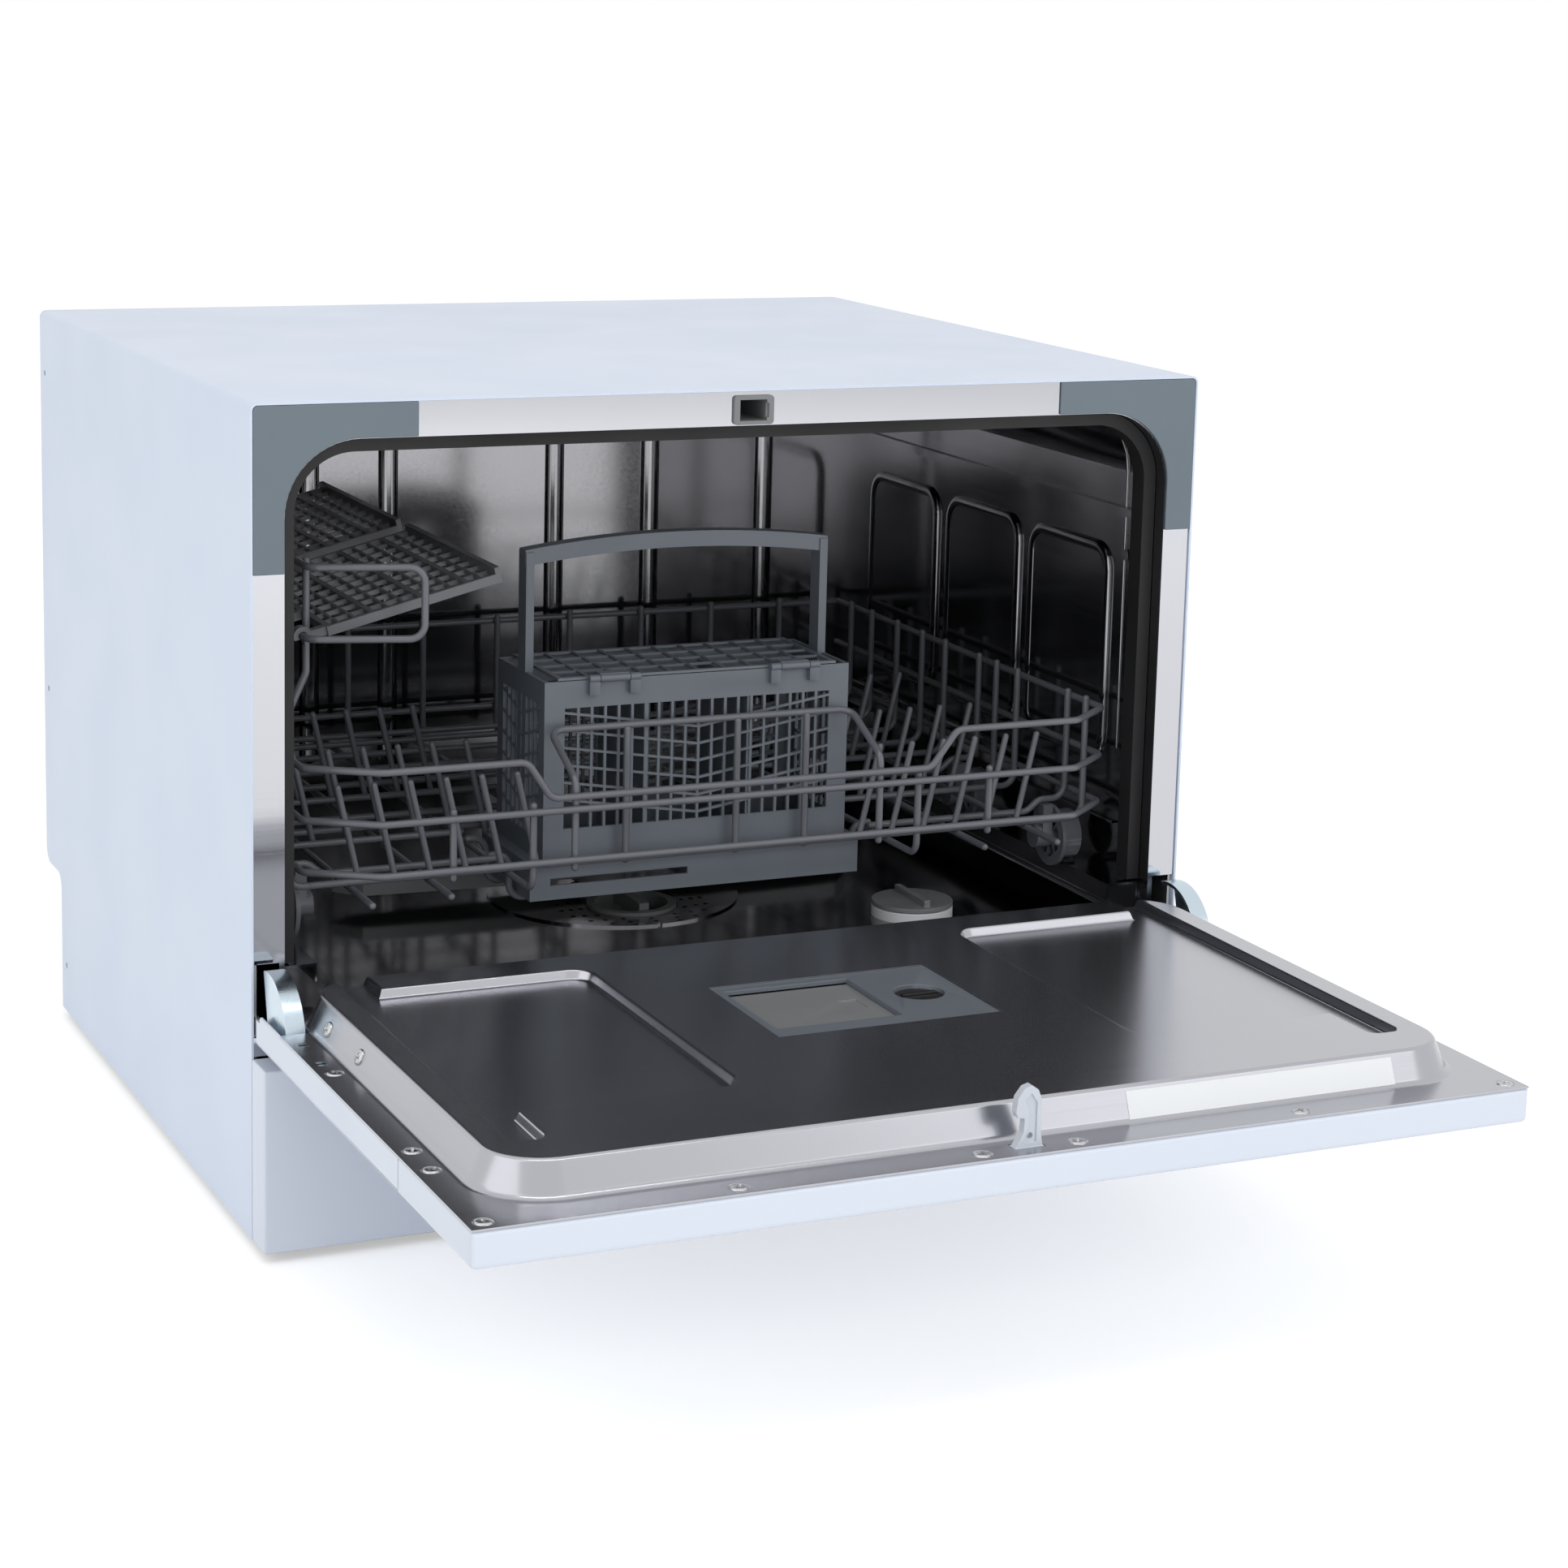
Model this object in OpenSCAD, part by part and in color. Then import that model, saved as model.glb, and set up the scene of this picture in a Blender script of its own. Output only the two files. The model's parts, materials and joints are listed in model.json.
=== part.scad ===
// Countertop dishwasher with a drop-down door and a pull-out dish rack.
// Rest pose: door open, rack pushed home. Lengths in mm, +Z up, door towards -Y.
// Modules are written from the front frame's face (y = 0) and the casing's lower edge (z = 0).

/* [Cabinet] */
// outside width of the cabinet
case_w = 550; // [530:1:570]
// height of the cabinet above its feet
case_h = 438; // [420:1:460]
// depth of the cabinet from the front frame to the back
case_d = 476; // [455:1:500]
// thickness of the painted casing sheet
sheet = 1.2; // [0.8:0.1:1.5]
// height of the rubber feet
foot_h = 5; // [3:1:10]
// radius of the top edges of the casing
edge_r = 4; // [3:0.5:8]
// depth of the hose recess at the lower back
step_in = 41; // [30:1:45]
// height of the hose recess
step_h = 86; // [70:1:90]

/* [Opening] */
// width of the stainless flange beside the opening
flange_w = 18; // [17:0.5:22]
// corner radius of the opening
mouth_r = 40; // [30:1:50]
// height of the bottom of the tub
tub_floor = 112; // [108:1:114]
// wall thickness of the tub
tub_t = 1.2; // [0.8:0.1:1.5]
// width of the rubber seal
seal_w = 8; // [6:0.5:8.5]

/* [Door] */
// thickness of the door without its raised plateau
door_t = 18.2; // [17:0.1:19]
// gap between the closed door and the front frame
seal_gap = 5.8; // [5:0.1:7]
// height of the raised plateau above the door flange
plateau_h = 16.5; // [14:0.1:16.5]
// height of the control panel on the door
fascia_h = 99; // [90:1:110]

/* [Rack] */
// thickness of the rack wire
wire_d = 4; // [3.4:0.1:4.4]
// height of the top rail of the rack
rail_top = 240; // [236:1:246]
// height of the middle rail
rail_mid = 212; // [210:0.5:213]
// height of the lower rail
rail_low = 184; // [182:1:188]
// height of the floor wires
floor_z = 172; // [170.5:0.5:173]
// outside radius of the wheel barrel
wheel_r = 14.5; // [13:0.1:14.5]

/* [Cutlery basket] */
// width of the cutlery basket
bask_w = 184; // [174:1:190]
// depth of the cutlery basket
bask_d = 75; // [68:1:80]
// height of the basket's top
bask_top = 273; // [265:1:280]

/* [Hidden] */
$fn = 48;
e = 0.01;
hw = case_w / 2;
mouth_x = hw - flange_w;
mouth_top = case_h - 19.7;
tub_back = case_d - 61;
hinge_y = -16.3;
hinge_z = 115;
skin_y = -(door_t + seal_gap);
skin_z = hinge_z + skin_y - hinge_y;
flange_z = skin_z + door_t;
plateau_z = flange_z + plateau_h;
door_end = hinge_y + hinge_z - case_h;
door_foot = -9;
plateau_y = door_end + 22;
plateau_run = 7;
centre_y = (case_d + door_end) / 2;
step_y = case_d - step_in;
wr = wire_d / 2;
lap = wire_d + 0.05;
rx = mouth_x - 12;
rk_f = 15;
rk_b = tub_back - 15;
axle_z = plateau_z + wheel_r + 0.3;
wheel_x = rx - 10.8;
// places along the rack, measured from its front
function along(q) = rk_f + q * (rk_b - rk_f) / 385;
wheel_ys = [for (q = [60.5, 173, 356]) along(q)];
hoop_ys = [for (q = [39, 60.5, 123, 150, 173, 219, 251, 287, 325, 356]) along(q)];
tall_ys = [for (q = [39, 150, 287, 356]) along(q)];
arm_y = 215;
arm_r = tub_back - arm_y - 34;
sump_y = 190;
cup_y = 160;
rod_x = -(rx - 15 + lap);
rod_z = 309;
bask_y = 65;
bask_z = 149;
bx = bask_w / 2;
grey = [0.42, 0.42, 0.44];
white = [0.88, 0.9, 0.94];
steel = [0.72, 0.72, 0.74];
slate = [0.3, 0.32, 0.35];
light = [0.62, 0.63, 0.64];
dark = [0.12, 0.12, 0.13];

// Helpers

// moves a part from its drawing frame to the origin under the middle of the object
module place() {
  translate([0, -centre_y, foot_h])
    children();
}

// box between two corners
module box(a, b) {
  translate(a)
    cube(b - a);
}

// box that is mirrored to the other side too
module box2(a, b) {
  box(a, b);
  mirror([1, 0, 0])
    box(a, b);
}

// 2D drawing in X and Z, pushed from y0 to y1
module along_y(y0, y1) {
  translate([0, y1, 0])
    rotate([90, 0, 0])
      linear_extrude(y1 - y0)
        children();
}

// 2D drawing in Y and Z, pushed from x0 to x1
module along_x(x0, x1) {
  translate([x0, 0, 0])
    rotate([90, 0, 90])
      linear_extrude(x1 - x0)
        children();
}

// round bar along X, Y or Z
module bar_x(x0, x1, y, z, r) {
  translate([x0, y, z])
    rotate([0, 90, 0])
      cylinder(h = x1 - x0, r = r);
}

module bar_y(x, y0, y1, z, r) {
  translate([x, y1, z])
    rotate([90, 0, 0])
      cylinder(h = y1 - y0, r = r);
}

module bar_z(x, y, z0, z1, r) {
  translate([x, y, z0])
    cylinder(h = z1 - z0, r = r);
}

// round bar between two points
module rod(a, b, r) {
  d = b - a;
  len = norm(d);
  translate(a)
    rotate([0, acos(d[2] / len), atan2(d[1], d[0])])
      cylinder(h = len, r = r);
}

// bent wire through points: bends square to the axes are elbows of radius br, others meet in a ball
module wire(pts, r = wr, br = 7) {
  n = len(pts);
  dirs = [for (i = [0:n - 2]) (pts[i + 1] - pts[i]) / norm(pts[i + 1] - pts[i])];
  square_bend = [for (i = [1:n - 2])
    abs(dirs[i - 1] * dirs[i]) < 0.001 && on_axis(dirs[i - 1]) && on_axis(dirs[i])];
  half_turn = [for (i = [1:n - 2]) acos(min(1, dirs[i - 1] * dirs[i])) / 2];
  cut = [for (i = [0:n - 3]) square_bend[i] ? br : r * tan(half_turn[i]) + 0.05];
  for (i = [0:n - 2]) {
    c0 = i == 0 ? 0 : cut[i - 1];
    c1 = i == n - 2 ? 0 : cut[i];
    rod(pts[i] + dirs[i] * c0, pts[i + 1] - dirs[i] * c1, r);
  }
  for (i = [0:n - 3])
    if (square_bend[i])
      elbow(pts[i + 1], dirs[i], dirs[i + 1], r, br);
    else
      ball_joint(pts[i + 1], dirs[i], dirs[i + 1], norm([r, cut[i]]) + 0.08);
}

// ball with its poles square to the bend
module ball_joint(p, u, v, r) {
  w = cross(u, v) / norm(cross(u, v));
  o = (u - v) / norm(u - v);
  q = cross(w, o);
  multmatrix([
    [o[0], q[0], w[0], p[0]],
    [o[1], q[1], w[1], p[1]],
    [o[2], q[2], w[2], p[2]],
    [0, 0, 0, 1]
  ])
    sphere(r = r);
}

function on_axis(d) = max([for (v = d) abs(v)]) > 0.99999;

// quarter ring that joins two wires at a right angle
module elbow(p, u, v, r, br) {
  w = cross(u, v);
  c = p - u * br + v * br;
  multmatrix([
    [-v[0], u[0], w[0], c[0]],
    [-v[1], u[1], w[1], c[1]],
    [-v[2], u[2], w[2], c[2]],
    [0, 0, 0, 1]
  ])
    rotate_extrude(angle = 90)
      translate([br, 0])
        circle(r = r);
}

// 2D rectangle with rounded corners
module round_rect(x0, z0, x1, z1, r) {
  translate([x0 + r, z0])
    square([x1 - x0 - 2 * r, z1 - z0]);
  translate([x0, z0 + r])
    square([x1 - x0, z1 - z0 - 2 * r]);
  for (x = [x0 + r, x1 - r])
    for (z = [z0 + r, z1 - r])
      translate([x, z])
        circle(r = r);
}

// 2D shape with only its upper corners rounded
module arch_rect(w, z0, z1, r) {
  translate([-w, z0])
    square([2 * w, z1 - z0 - r]);
  translate([-w + r, z0])
    square([2 * w - 2 * r, z1 - z0]);
  for (x = [-w + r, w - r])
    translate([x, z1 - r])
      circle(r = r);
}

// 2D outline of the tub's mouth, grown by g
module mouth(g) {
  difference() {
    arch_rect(mouth_x + g, tub_floor - g, mouth_top + g, mouth_r + g);
    for (s = [-1, 1])
      translate([s * (mouth_x + g) - 12, tub_floor - g - 12])
        difference() {
          square([24, 24]);
          translate([s < 0 ? 24 : 0, 24])
            circle(r = 12);
          translate([s < 0 ? 24 : -24, 0])
            square([24, 24]);
        }
  }
}

// Cabinet

// hose recess seen from the side, in Y and Z
module step_cut() {
  r = 10;
  difference() {
    translate([step_y, -1])
      square([step_in + 2, step_h + r + 1]);
    translate([step_y - 1, step_h])
      square([step_in - r + 1, r + 1]);
    translate([case_d - r, step_h + r])
      circle(r = r);
    translate([step_y - 1, step_h - r])
      difference() {
        square([r + 1, r + 1]);
        translate([r + 1, 0])
          circle(r = r);
      }
  }
}

module outer_casing() {
  color(white)
    difference() {
      along_y(0, case_d)
        difference() {
          arch_rect(hw, 0, case_h, edge_r);
          arch_rect(hw - sheet, -1, case_h - sheet, edge_r - sheet);
        }
      along_x(-hw - 1, hw + 1)
        step_cut();
      for (s = [-1, 1])
        for (z = [30, 200, 400])
          bar_x(s * hw - 3, s * hw + 3, case_d - (z < 100 ? step_in + 12 : 12), z, 1.9);
    }
}

// thin line of the rear sheet, in Y and Z
module rear_line() {
  r = 10;
  t = sheet;
  translate([case_d - t, step_h + r])
    square([t, case_h - sheet - 0.3 - step_h - r]);
  translate([step_y + r, step_h])
    square([step_in - 2 * r, t]);
  translate([step_y - t, 2])
    square([t, step_h - r - 2]);
  intersection() {
    translate([case_d - r, step_h + r])
      difference() {
        circle(r = r);
        circle(r = r - t);
      }
    translate([case_d - r, step_h])
      square([r, r]);
  }
  intersection() {
    translate([step_y + r, step_h - r])
      difference() {
        circle(r = r + t);
        circle(r = r);
      }
    translate([step_y - t, step_h - r])
      square([r + t, r + t]);
  }
}

module rear_panel() {
  color(light)
    difference() {
      along_x(-hw + sheet + 0.2, hw - sheet - 0.2)
        rear_line();
      for (z = [330:14:400])
        for (s = [-1, 1])
          box([s * 150 - 45, case_d - 4, z], [s * 150 + 45, case_d + 1, z + 5]);
      bar_y(-180, step_y - 5, step_y + 1, 45, 14.3);
      bar_y(-120, step_y - 5, step_y + 1, 45, 11.3);
      bar_y(190, step_y - 5, step_y + 1, 50, 10.3);
    }
}

module base_tray() {
  x = hw - sheet - 0.2;
  color(slate)
    difference() {
      union() {
        difference() {
          box([-x, 0, 0.5], [x, step_y - sheet - 0.3, 30]);
          box([-x + 2.5, 2.5, 3.5], [x - 2.5, step_y - sheet - 2.8, 31]);
        }
        for (xr = [-150, -50, 50, 150])
          box([xr - 1, 2, 3], [xr + 1, step_y - sheet - 2.5, 9]);
      }
      for (sx = [-1, 1])
        for (y = [40, step_y - 40])
          bar_z(sx * (x - 35), y, -1, 5, 4.3);
    }
}

module kick_panel() {
  color(white)
    difference() {
      box([-hw, skin_y, 0], [hw, -0.3, 98]);
      box([-hw + 2, skin_y + 2, -1], [hw - 2, 1, 96]);
    }
  color(white)
    for (x = [-hw + 95, 0, hw - 95])
      box([x - 8, skin_y + 1, 4], [x + 8, -0.3, 10]);
}

module feet() {
  x = hw - sheet - 35.2;
  color(dark)
    for (sx = [-1, 1])
      for (y = [40, step_y - 40]) {
        bar_z(sx * x, y, -foot_h, 0.5, 13);
        bar_z(sx * x, y, 0, 4.5, 4);
      }
}

module front_frame() {
  x = hw - sheet - 0.2;
  color(steel)
    along_y(1.2, 2.4)
      difference() {
        union() {
          translate([-x, 98.5])
            square([2 * x, 200]);
          arch_rect(x, 200, case_h - sheet - 0.2, edge_r - sheet);
        }
        mouth(0);
        for (s = [-1, 1])
          translate([s < 0 ? -hw : mouth_x + 2.9, hinge_z - 6.5])
            square([flange_w - 2.9, 39]);
        round_rect(-9.8, mouth_top + 1.6, 9.8, mouth_top + 14.6, 1.5);
      }
}

// grey L-shaped trim on an upper corner of the front frame, s is the side
module corner_trim(s) {
  x = hw - sheet - 0.2;
  a = x - 87;
  z = case_h - sheet - 0.2;
  color([0.42, 0.48, 0.5])
    along_y(-0.2, 1.2)
      difference() {
        intersection() {
          arch_rect(x, 100, z, edge_r - sheet);
          translate([s < 0 ? -x - 1 : a, z - 86])
            square([88, 90]);
        }
        mouth(0.3);
      }
}

module tub_wall() {
  difference() {
    along_y(2.4, tub_back + tub_t)
      mouth(tub_t);
    along_y(2, tub_back)
      mouth(0);
  }
}

module tub() {
  pitch = (tub_back - 85) / 3;
  z1 = mouth_top - 66.3;
  color(steel)
    difference() {
      union() {
        tub_wall();
        // pressed ribs on the back wall
        for (x = [-120, -68, 45, 112, mouth_x - 63])
          box([x - 5, tub_back - 2.5, 150], [x + 5, tub_back + 0.5, mouth_top - 22]);
        // pressed panels and ledge on both side walls
        for (s = [-1, 1]) {
          for (k = [0:2])
            translate([s * (mouth_x - 0.75) - 0.85, 60 + k * pitch, 0])
              along_x(0, 1.7)
                round_rect(0, 205, pitch - 18, z1 - 22, 14);
          box([s * (mouth_x - 1.2) - 1.3, 30, z1], [s * (mouth_x - 1.2) + 1.3, tub_back - 12, z1 + 5]);
          bar_x(s * (mouth_x - 2.5) - 3, s * (mouth_x - 2.5) + 3, 33, z1 - 21, 3.4);
        }
      }
      bar_z(0, sump_y, tub_floor - 5, tub_floor + 2, 62);
      bar_z(150, 90, tub_floor - 5, tub_floor + 2, 24.3);
    }
}

module door_gasket() {
  color(dark)
    difference() {
      along_y(11.5, 24)
        difference() {
          mouth(-0.3);
          mouth(-seal_w);
          translate([-case_w, 0])
            square([2 * case_w, plateau_z + 2]);
        }
      along_y(15, 21)
        difference() {
          mouth(-1.6);
          mouth(-seal_w + 1.3);
        }
    }
}

module door_lock() {
  z0 = mouth_top + 1.6;
  z1 = mouth_top + 14.6;
  color(light)
    difference() {
      union() {
        along_y(-0.8, 1.2)
          round_rect(-11.5, z0 - 1, 11.5, z1 + 1.6, 2);
        along_y(1.2, 3)
          round_rect(-9.6, z0 + 0.2, 9.6, z1 - 0.2, 1.3);
        box([-22, 2.6, z0 + 0.1], [22, 52, z1 + 2.2]);
      }
      box([-8.2, -2, z0 + 1.1], [7.4, 40, z1 - 0.6]);
      box([7, -2, z0 + 2.8], [8.6, 1, z1 - 2.5]);
    }
}

module rack_track(s) {
  color(steel)
    mirror([s > 0 ? 0 : 1, 0, 0]) {
      x0 = wheel_x + 2.3;
      x1 = mouth_x - 0.2;
      box([x0, 12, plateau_z - 1.5], [x1, tub_back - 6, plateau_z]);
      box([x0, 12, plateau_z - 10], [x0 + 1.2, tub_back - 6, plateau_z - 1]);
      box([x1 - 1.2, 12, plateau_z - 18], [x1, tub_back - 6, plateau_z - 1]);
      z = plateau_z + 2 * wheel_r + 2;
      box([rx + 3.2, 30, z], [x1, tub_back - 6, z + 1.4]);
      box([x1 - 1.2, 30, z], [x1, tub_back - 6, z + 12]);
    }
}

// Water system under and in the tub

module filter_plate() {
  color(steel)
    difference() {
      translate([0, sump_y, tub_floor])
        cylinder(h = 1.2, r = 75);
      bar_z(0, cup_y, tub_floor - 1, tub_floor + 2, 27);
      bar_z(0, arm_y, tub_floor - 1, tub_floor + 2, 6.5);
      for (ring = [0:2])
        for (k = [0:11 + 4 * ring])
          translate([0, cup_y, 0])
            rotate([0, 0, k * 360 / (12 + 4 * ring)])
              bar_z(32 + 6 * ring, 0, tub_floor - 1, tub_floor + 2, 1.6);
    }
}

module sump() {
  color(dark)
    difference() {
      union() {
        bar_z(0, sump_y, tub_floor - 52, tub_floor - 3, 61.5);
        bar_z(0, sump_y, tub_floor - 3.7, tub_floor - 1.5, 74);
        bar_x(-95, -40, sump_y, 78, 11);
        bar_y(0, 105, 150, 78, 9);
        bar_x(40, 90, sump_y + 15, 80, 11);
        for (x = [-40, 40])
          bar_z(x, sump_y, 3.7, 70, 6);
      }
      bar_z(0, sump_y, tub_floor - 49, tub_floor + 1, 58.5);
      bar_x(-96, -50, sump_y, 78, 8.5);
      bar_y(0, 104, 150, 78, 7);
      bar_x(50, 91, sump_y + 15, 80, 8.5);
    }
  color(dark)
    difference() {
      bar_z(0, arm_y, tub_floor - 50, tub_floor + 9, 6);
      bar_z(0, arm_y, tub_floor - 30, tub_floor + 10, 3.5);
    }
}

module wash_pump() {
  color(light) {
    bar_x(-150, -95.3, sump_y, 78, 31);
    bar_x(-215, -150, sump_y, 78, 26);
    bar_y(-122, sump_y + 25, sump_y + 47, 78, 11);
    box([-205, sump_y - 19, 3.7], [-160, sump_y + 19, 56]);
  }
}

module drain_pump() {
  color(dark) {
    bar_y(0, 76, 104.7, 78, 22);
    bar_y(0, 40, 76, 78, 17);
    bar_z(0, 90, 3.7, 60, 8);
  }
}

module water_heater() {
  color(steel) {
    bar_x(90.3, 190, sump_y + 15, 80, 20);
    box([110, sump_y + 7, 3.7], [147, sump_y + 23, 64]);
  }
}

module softener() {
  color([0.86, 0.87, 0.88])
    difference() {
      union() {
        box([100, 40, 34], [205, 150, tub_floor - 3.7]);
        bar_z(150, 90, tub_floor - 4, tub_floor + 6, 24);
        box([110, 50, 3.7], [130, 140, 36]);
        box([175, 50, 3.7], [195, 140, 36]);
      }
      bar_z(150, 90, 50, tub_floor + 9, 18.3);
      box([105, 45, 38], [146, 145, tub_floor - 8]);
    }
}

module inlet_valve() {
  color([0.85, 0.86, 0.87])
    difference() {
      union() {
        box([-205, step_y - 64, 3.7], [-155, step_y - 24, 70]);
        bar_y(-180, step_y - 25, step_y + 22, 45, 12);
        bar_y(-180, step_y - 12, step_y - 5, 45, 17);
        bar_y(-180, step_y - 25, step_y + 1, 45, 13);
      }
      bar_y(-180, step_y - 10, step_y + 23, 45, 8);
    }
}

module hose_fittings() {
  color(dark) {
    difference() {
      union() {
        bar_y(-120, step_y - 20, step_y + 28, 45, 9);
        bar_y(-120, step_y + 20, step_y + 25, 45, 10.5);
        bar_y(-120, step_y - 7, step_y - 2, 45, 15);
      }
      bar_y(-120, step_y - 15, step_y + 29, 45, 6.5);
    }
    box([-128, step_y - 30, 3.7], [-112, step_y - 14, 50]);
    difference() {
      union() {
        bar_y(190, step_y - 12, step_y + 6, 50, 9.8);
        bar_y(190, step_y + 0.3, step_y + 5, 50, 13);
        bar_y(190, step_y - 6, step_y - 1.6, 50, 13);
      }
      bar_y(190, step_y - 13, step_y + 7, 50, 4.5);
    }
    box([182, step_y - 30, 3.7], [198, step_y - 11, 55]);
  }
}

// side plate with a pin at the hinge line
module hinge_mount(s) {
  x1 = hw - sheet - 0.3;
  color(steel)
    mirror([s > 0 ? 0 : 1, 0, 0]) {
      box([x1 - 2, 3, 60], [x1, 60, 170]);
      box([x1 - 2.5, hinge_y, hinge_z - 5], [x1 - 0.5, 3.2, hinge_z + 5]);
      bar_x(x1 - 2.5, x1 - 0.5, hinge_y, hinge_z, 5);
      bar_x(x1 - 13, x1 - 2, hinge_y, hinge_z, 3);
    }
}

// curved steel arm on the door that swings into the pocket in the frame
module hinge_arm(s) {
  x0 = hw - 14.5;
  x1 = hw - 4.2;
  r = 33;
  color([0.75, 0.8, 0.84])
    mirror([s > 0 ? 0 : 1, 0, 0])
      difference() {
        union() {
          intersection() {
            difference() {
              bar_x(x0, x1, hinge_y, hinge_z, r);
              bar_x(x0 - 1, x1 - 2, hinge_y, hinge_z, r - 2);
            }
            along_x(x0 - 2, x1 + 1)
              translate([hinge_y, hinge_z])
                polygon([[0, 0], [14, 52], [-70, 52], [-52, 0]]);
          }
          bar_x(x1 - 5, x1, hinge_y, hinge_z, 5.8);
          box([x1 - 2, -107, hinge_z - 5], [x1, hinge_y, flange_z - 1.3]);
          box([x1 - 8, -107, flange_z - 3.3], [x1, -49, flange_z - 1.3]);
        }
        bar_x(x0 - 1, x1 + 1, hinge_y, hinge_z, 3.3);
      }
}

// Door

screws = [
  [hw - 8.5, -116.5], [hw - 8.5, -235], [hw - 8.5, -262], [hw - 8.5, door_end + 8.5],
  [147, door_end + 8.5], [25, door_end + 8.5]
];

module at_screws(low, high) {
  for (p = screws)
    if (p[1] > low && p[1] < high)
      for (s = [-1, 1])
        translate([s * p[0], p[1], 0])
          children();
}

module screw_posts(low, high) {
  at_screws(low, high)
    difference() {
      translate([0, 0, skin_z + 1])
        cylinder(h = door_t - 2, r = 4);
      translate([0, 0, skin_z + 4])
        cylinder(h = door_t, r = 1.8);
    }
}

module door_panel() {
  y0 = door_end + fascia_h + 0.4;
  color(white)
    difference() {
      union() {
        difference() {
          box([-hw, y0, skin_z], [hw, door_foot, flange_z - 1]);
          box([-hw + 1.5, y0 - 1, skin_z + 1.5], [hw - 1.5, door_foot + 1, flange_z]);
        }
        box([-hw + 20, door_foot - 1.5, skin_z + 1], [hw - 20, door_foot, flange_z - 1]);
        screw_posts(y0, 0);
      }
      box2([hw - 2, door_foot - 6, flange_z - 4], [hw + 1, 0, flange_z]);
    }
}

module control_fascia() {
  y0 = door_end;
  y1 = door_end + fascia_h;
  color(white)
    difference() {
      union() {
        difference() {
          box([-hw, y0, skin_z], [hw, y1, flange_z - 1]);
          box([-hw + 2.2, y0 + 2.2, skin_z + 2.2], [hw - 2.2, y1 + 1, flange_z]);
        }
        screw_posts(-1000, y1);
        box([-72, y0 + 14, skin_z + 1], [72, y0 + 28, skin_z + 11]);
      }
      // hand grip, display window and button holes on the outside
      box([-70, y0 + 16, skin_z - 1], [70, y0 + 26, skin_z + 9.5]);
      box([-46, y0 + 40, skin_z - 1], [46, y0 + 68, skin_z + 3]);
      for (x = button_xs)
        bar_z(x, y0 + 54, skin_z - 1, skin_z + 3, 9.4);
    }
}

button_xs = [-150, 110, 160];

// 2D outline in X and Z, Y and Z of the plateau at inset g
module plateau_body(g) {
  xf = mouth_x + 1 - g;
  xt = xf - plateau_run;
  z0 = flange_z - e;
  z1 = plateau_z;
  yf = plateau_y + g;
  yb = door_foot - 3 - g;
  r0 = 35 - g;
  r1 = r0 - plateau_run;
  along_y(yf + r0, yb - r0)
    polygon([[-xf, z0], [xf, z0], [xt, z1], [-xt, z1]]);
  along_x(-xf + r0, xf - r0)
    polygon([[yf, z0], [yb, z0], [yb - plateau_run, z1], [yf + plateau_run, z1]]);
  for (x = [-xf + r0, xf - r0])
    for (y = [yf + r0, yb - r0])
      translate([x, y, z0])
        cylinder(h = z1 - z0, r1 = r0, r2 = r1);
}

// shallow pans pressed into the plateau beside the middle, with a lane for the wheel flanges
module plateau_pans(g) {
  z0 = plateau_z - 5 - g;
  x0 = 108 - g;
  x1 = wheel_x + 1.9 + g;
  translate([0, 0, z0])
    linear_extrude(20)
      for (s = [-1, 1])
        mirror([s < 0 ? 1 : 0, 0, 0]) {
          round_rect(x0, -245 - g, x1, -44 + g, 12 + g);
          round_rect(x1 - 16 - 2 * g, door_end + 57 - g, x1, 20, 5 + g);
        }
}

module inner_tray() {
  t = 1;
  color(steel)
    difference() {
      union() {
        difference() {
          union() {
            box([-hw + 0.3, door_end + 0.3, flange_z - t], [hw - 0.3, door_foot, flange_z]);
            plateau_body(0);
          }
          translate([0, 0, -t])
            plateau_body(t);
        }
        intersection() {
          plateau_pans(t);
          plateau_body(0);
        }
        box([-66, -190, plateau_z - 3], [66, -98.1, plateau_z - 0.5]);
      }
      plateau_pans(0);
      box2([mouth_x + 2.2, -51, flange_z - 3], [hw + 1, 0, flange_z + 3]);
      box2([hw - 9, -104, flange_z - 3], [hw - 4.5, -97, flange_z + 1]);
      box2([hw - 9, -72, flange_z - 3], [hw - 4.5, -66, flange_z + 1]);
      box([-8, door_end + 8, flange_z - 3], [8, door_end + 16, flange_z + 1]);
      box([-62, -186, plateau_z - 8], [62, -98, plateau_z + 1]);
      at_screws(-1000, 0) {
        translate([0, 0, flange_z - 3])
          cylinder(h = 5, r = 2.4);
        translate([0, 0, flange_z - t + 0.2])
          cylinder(h = t, r1 = 3.6, r2 = 5);
      }
    }
}

// latch hook that enters the lock on the front frame when the door shuts
module latch_hook() {
  y0 = door_end + 9.7;
  y1 = door_end + 14.4;
  z = flange_z;
  color(light)
    difference() {
      union() {
        along_y(y0, y1)
          polygon([[-7, z], [7, z], [6, z + 6], [6, z + 22], [4, z + 27], [0.5, z + 29.5],
            [-3, z + 28.5], [-6.5, z + 24], [-7.4, z + 17], [-6.4, z + 14.4], [-3.2, z + 14],
            [-2.8, z + 13], [-3.2, z + 7]]);
        box([-7.6, y0 - 0.8, z - 6], [7.6, y1 + 0.8, z]);
      }
      along_y(y0 - 0.1, y0 + 1)
        polygon([[-3.8, z + 2], [3.6, z + 2], [3.6, z + 21], [0.5, z + 25.5],
          [-3, z + 22.5], [-0.4, z + 18], [-0.6, z + 9]]);
      bar_y(0.6, y0 - 1, y1 + 1, z + 5, 1.5);
    }
}

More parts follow.
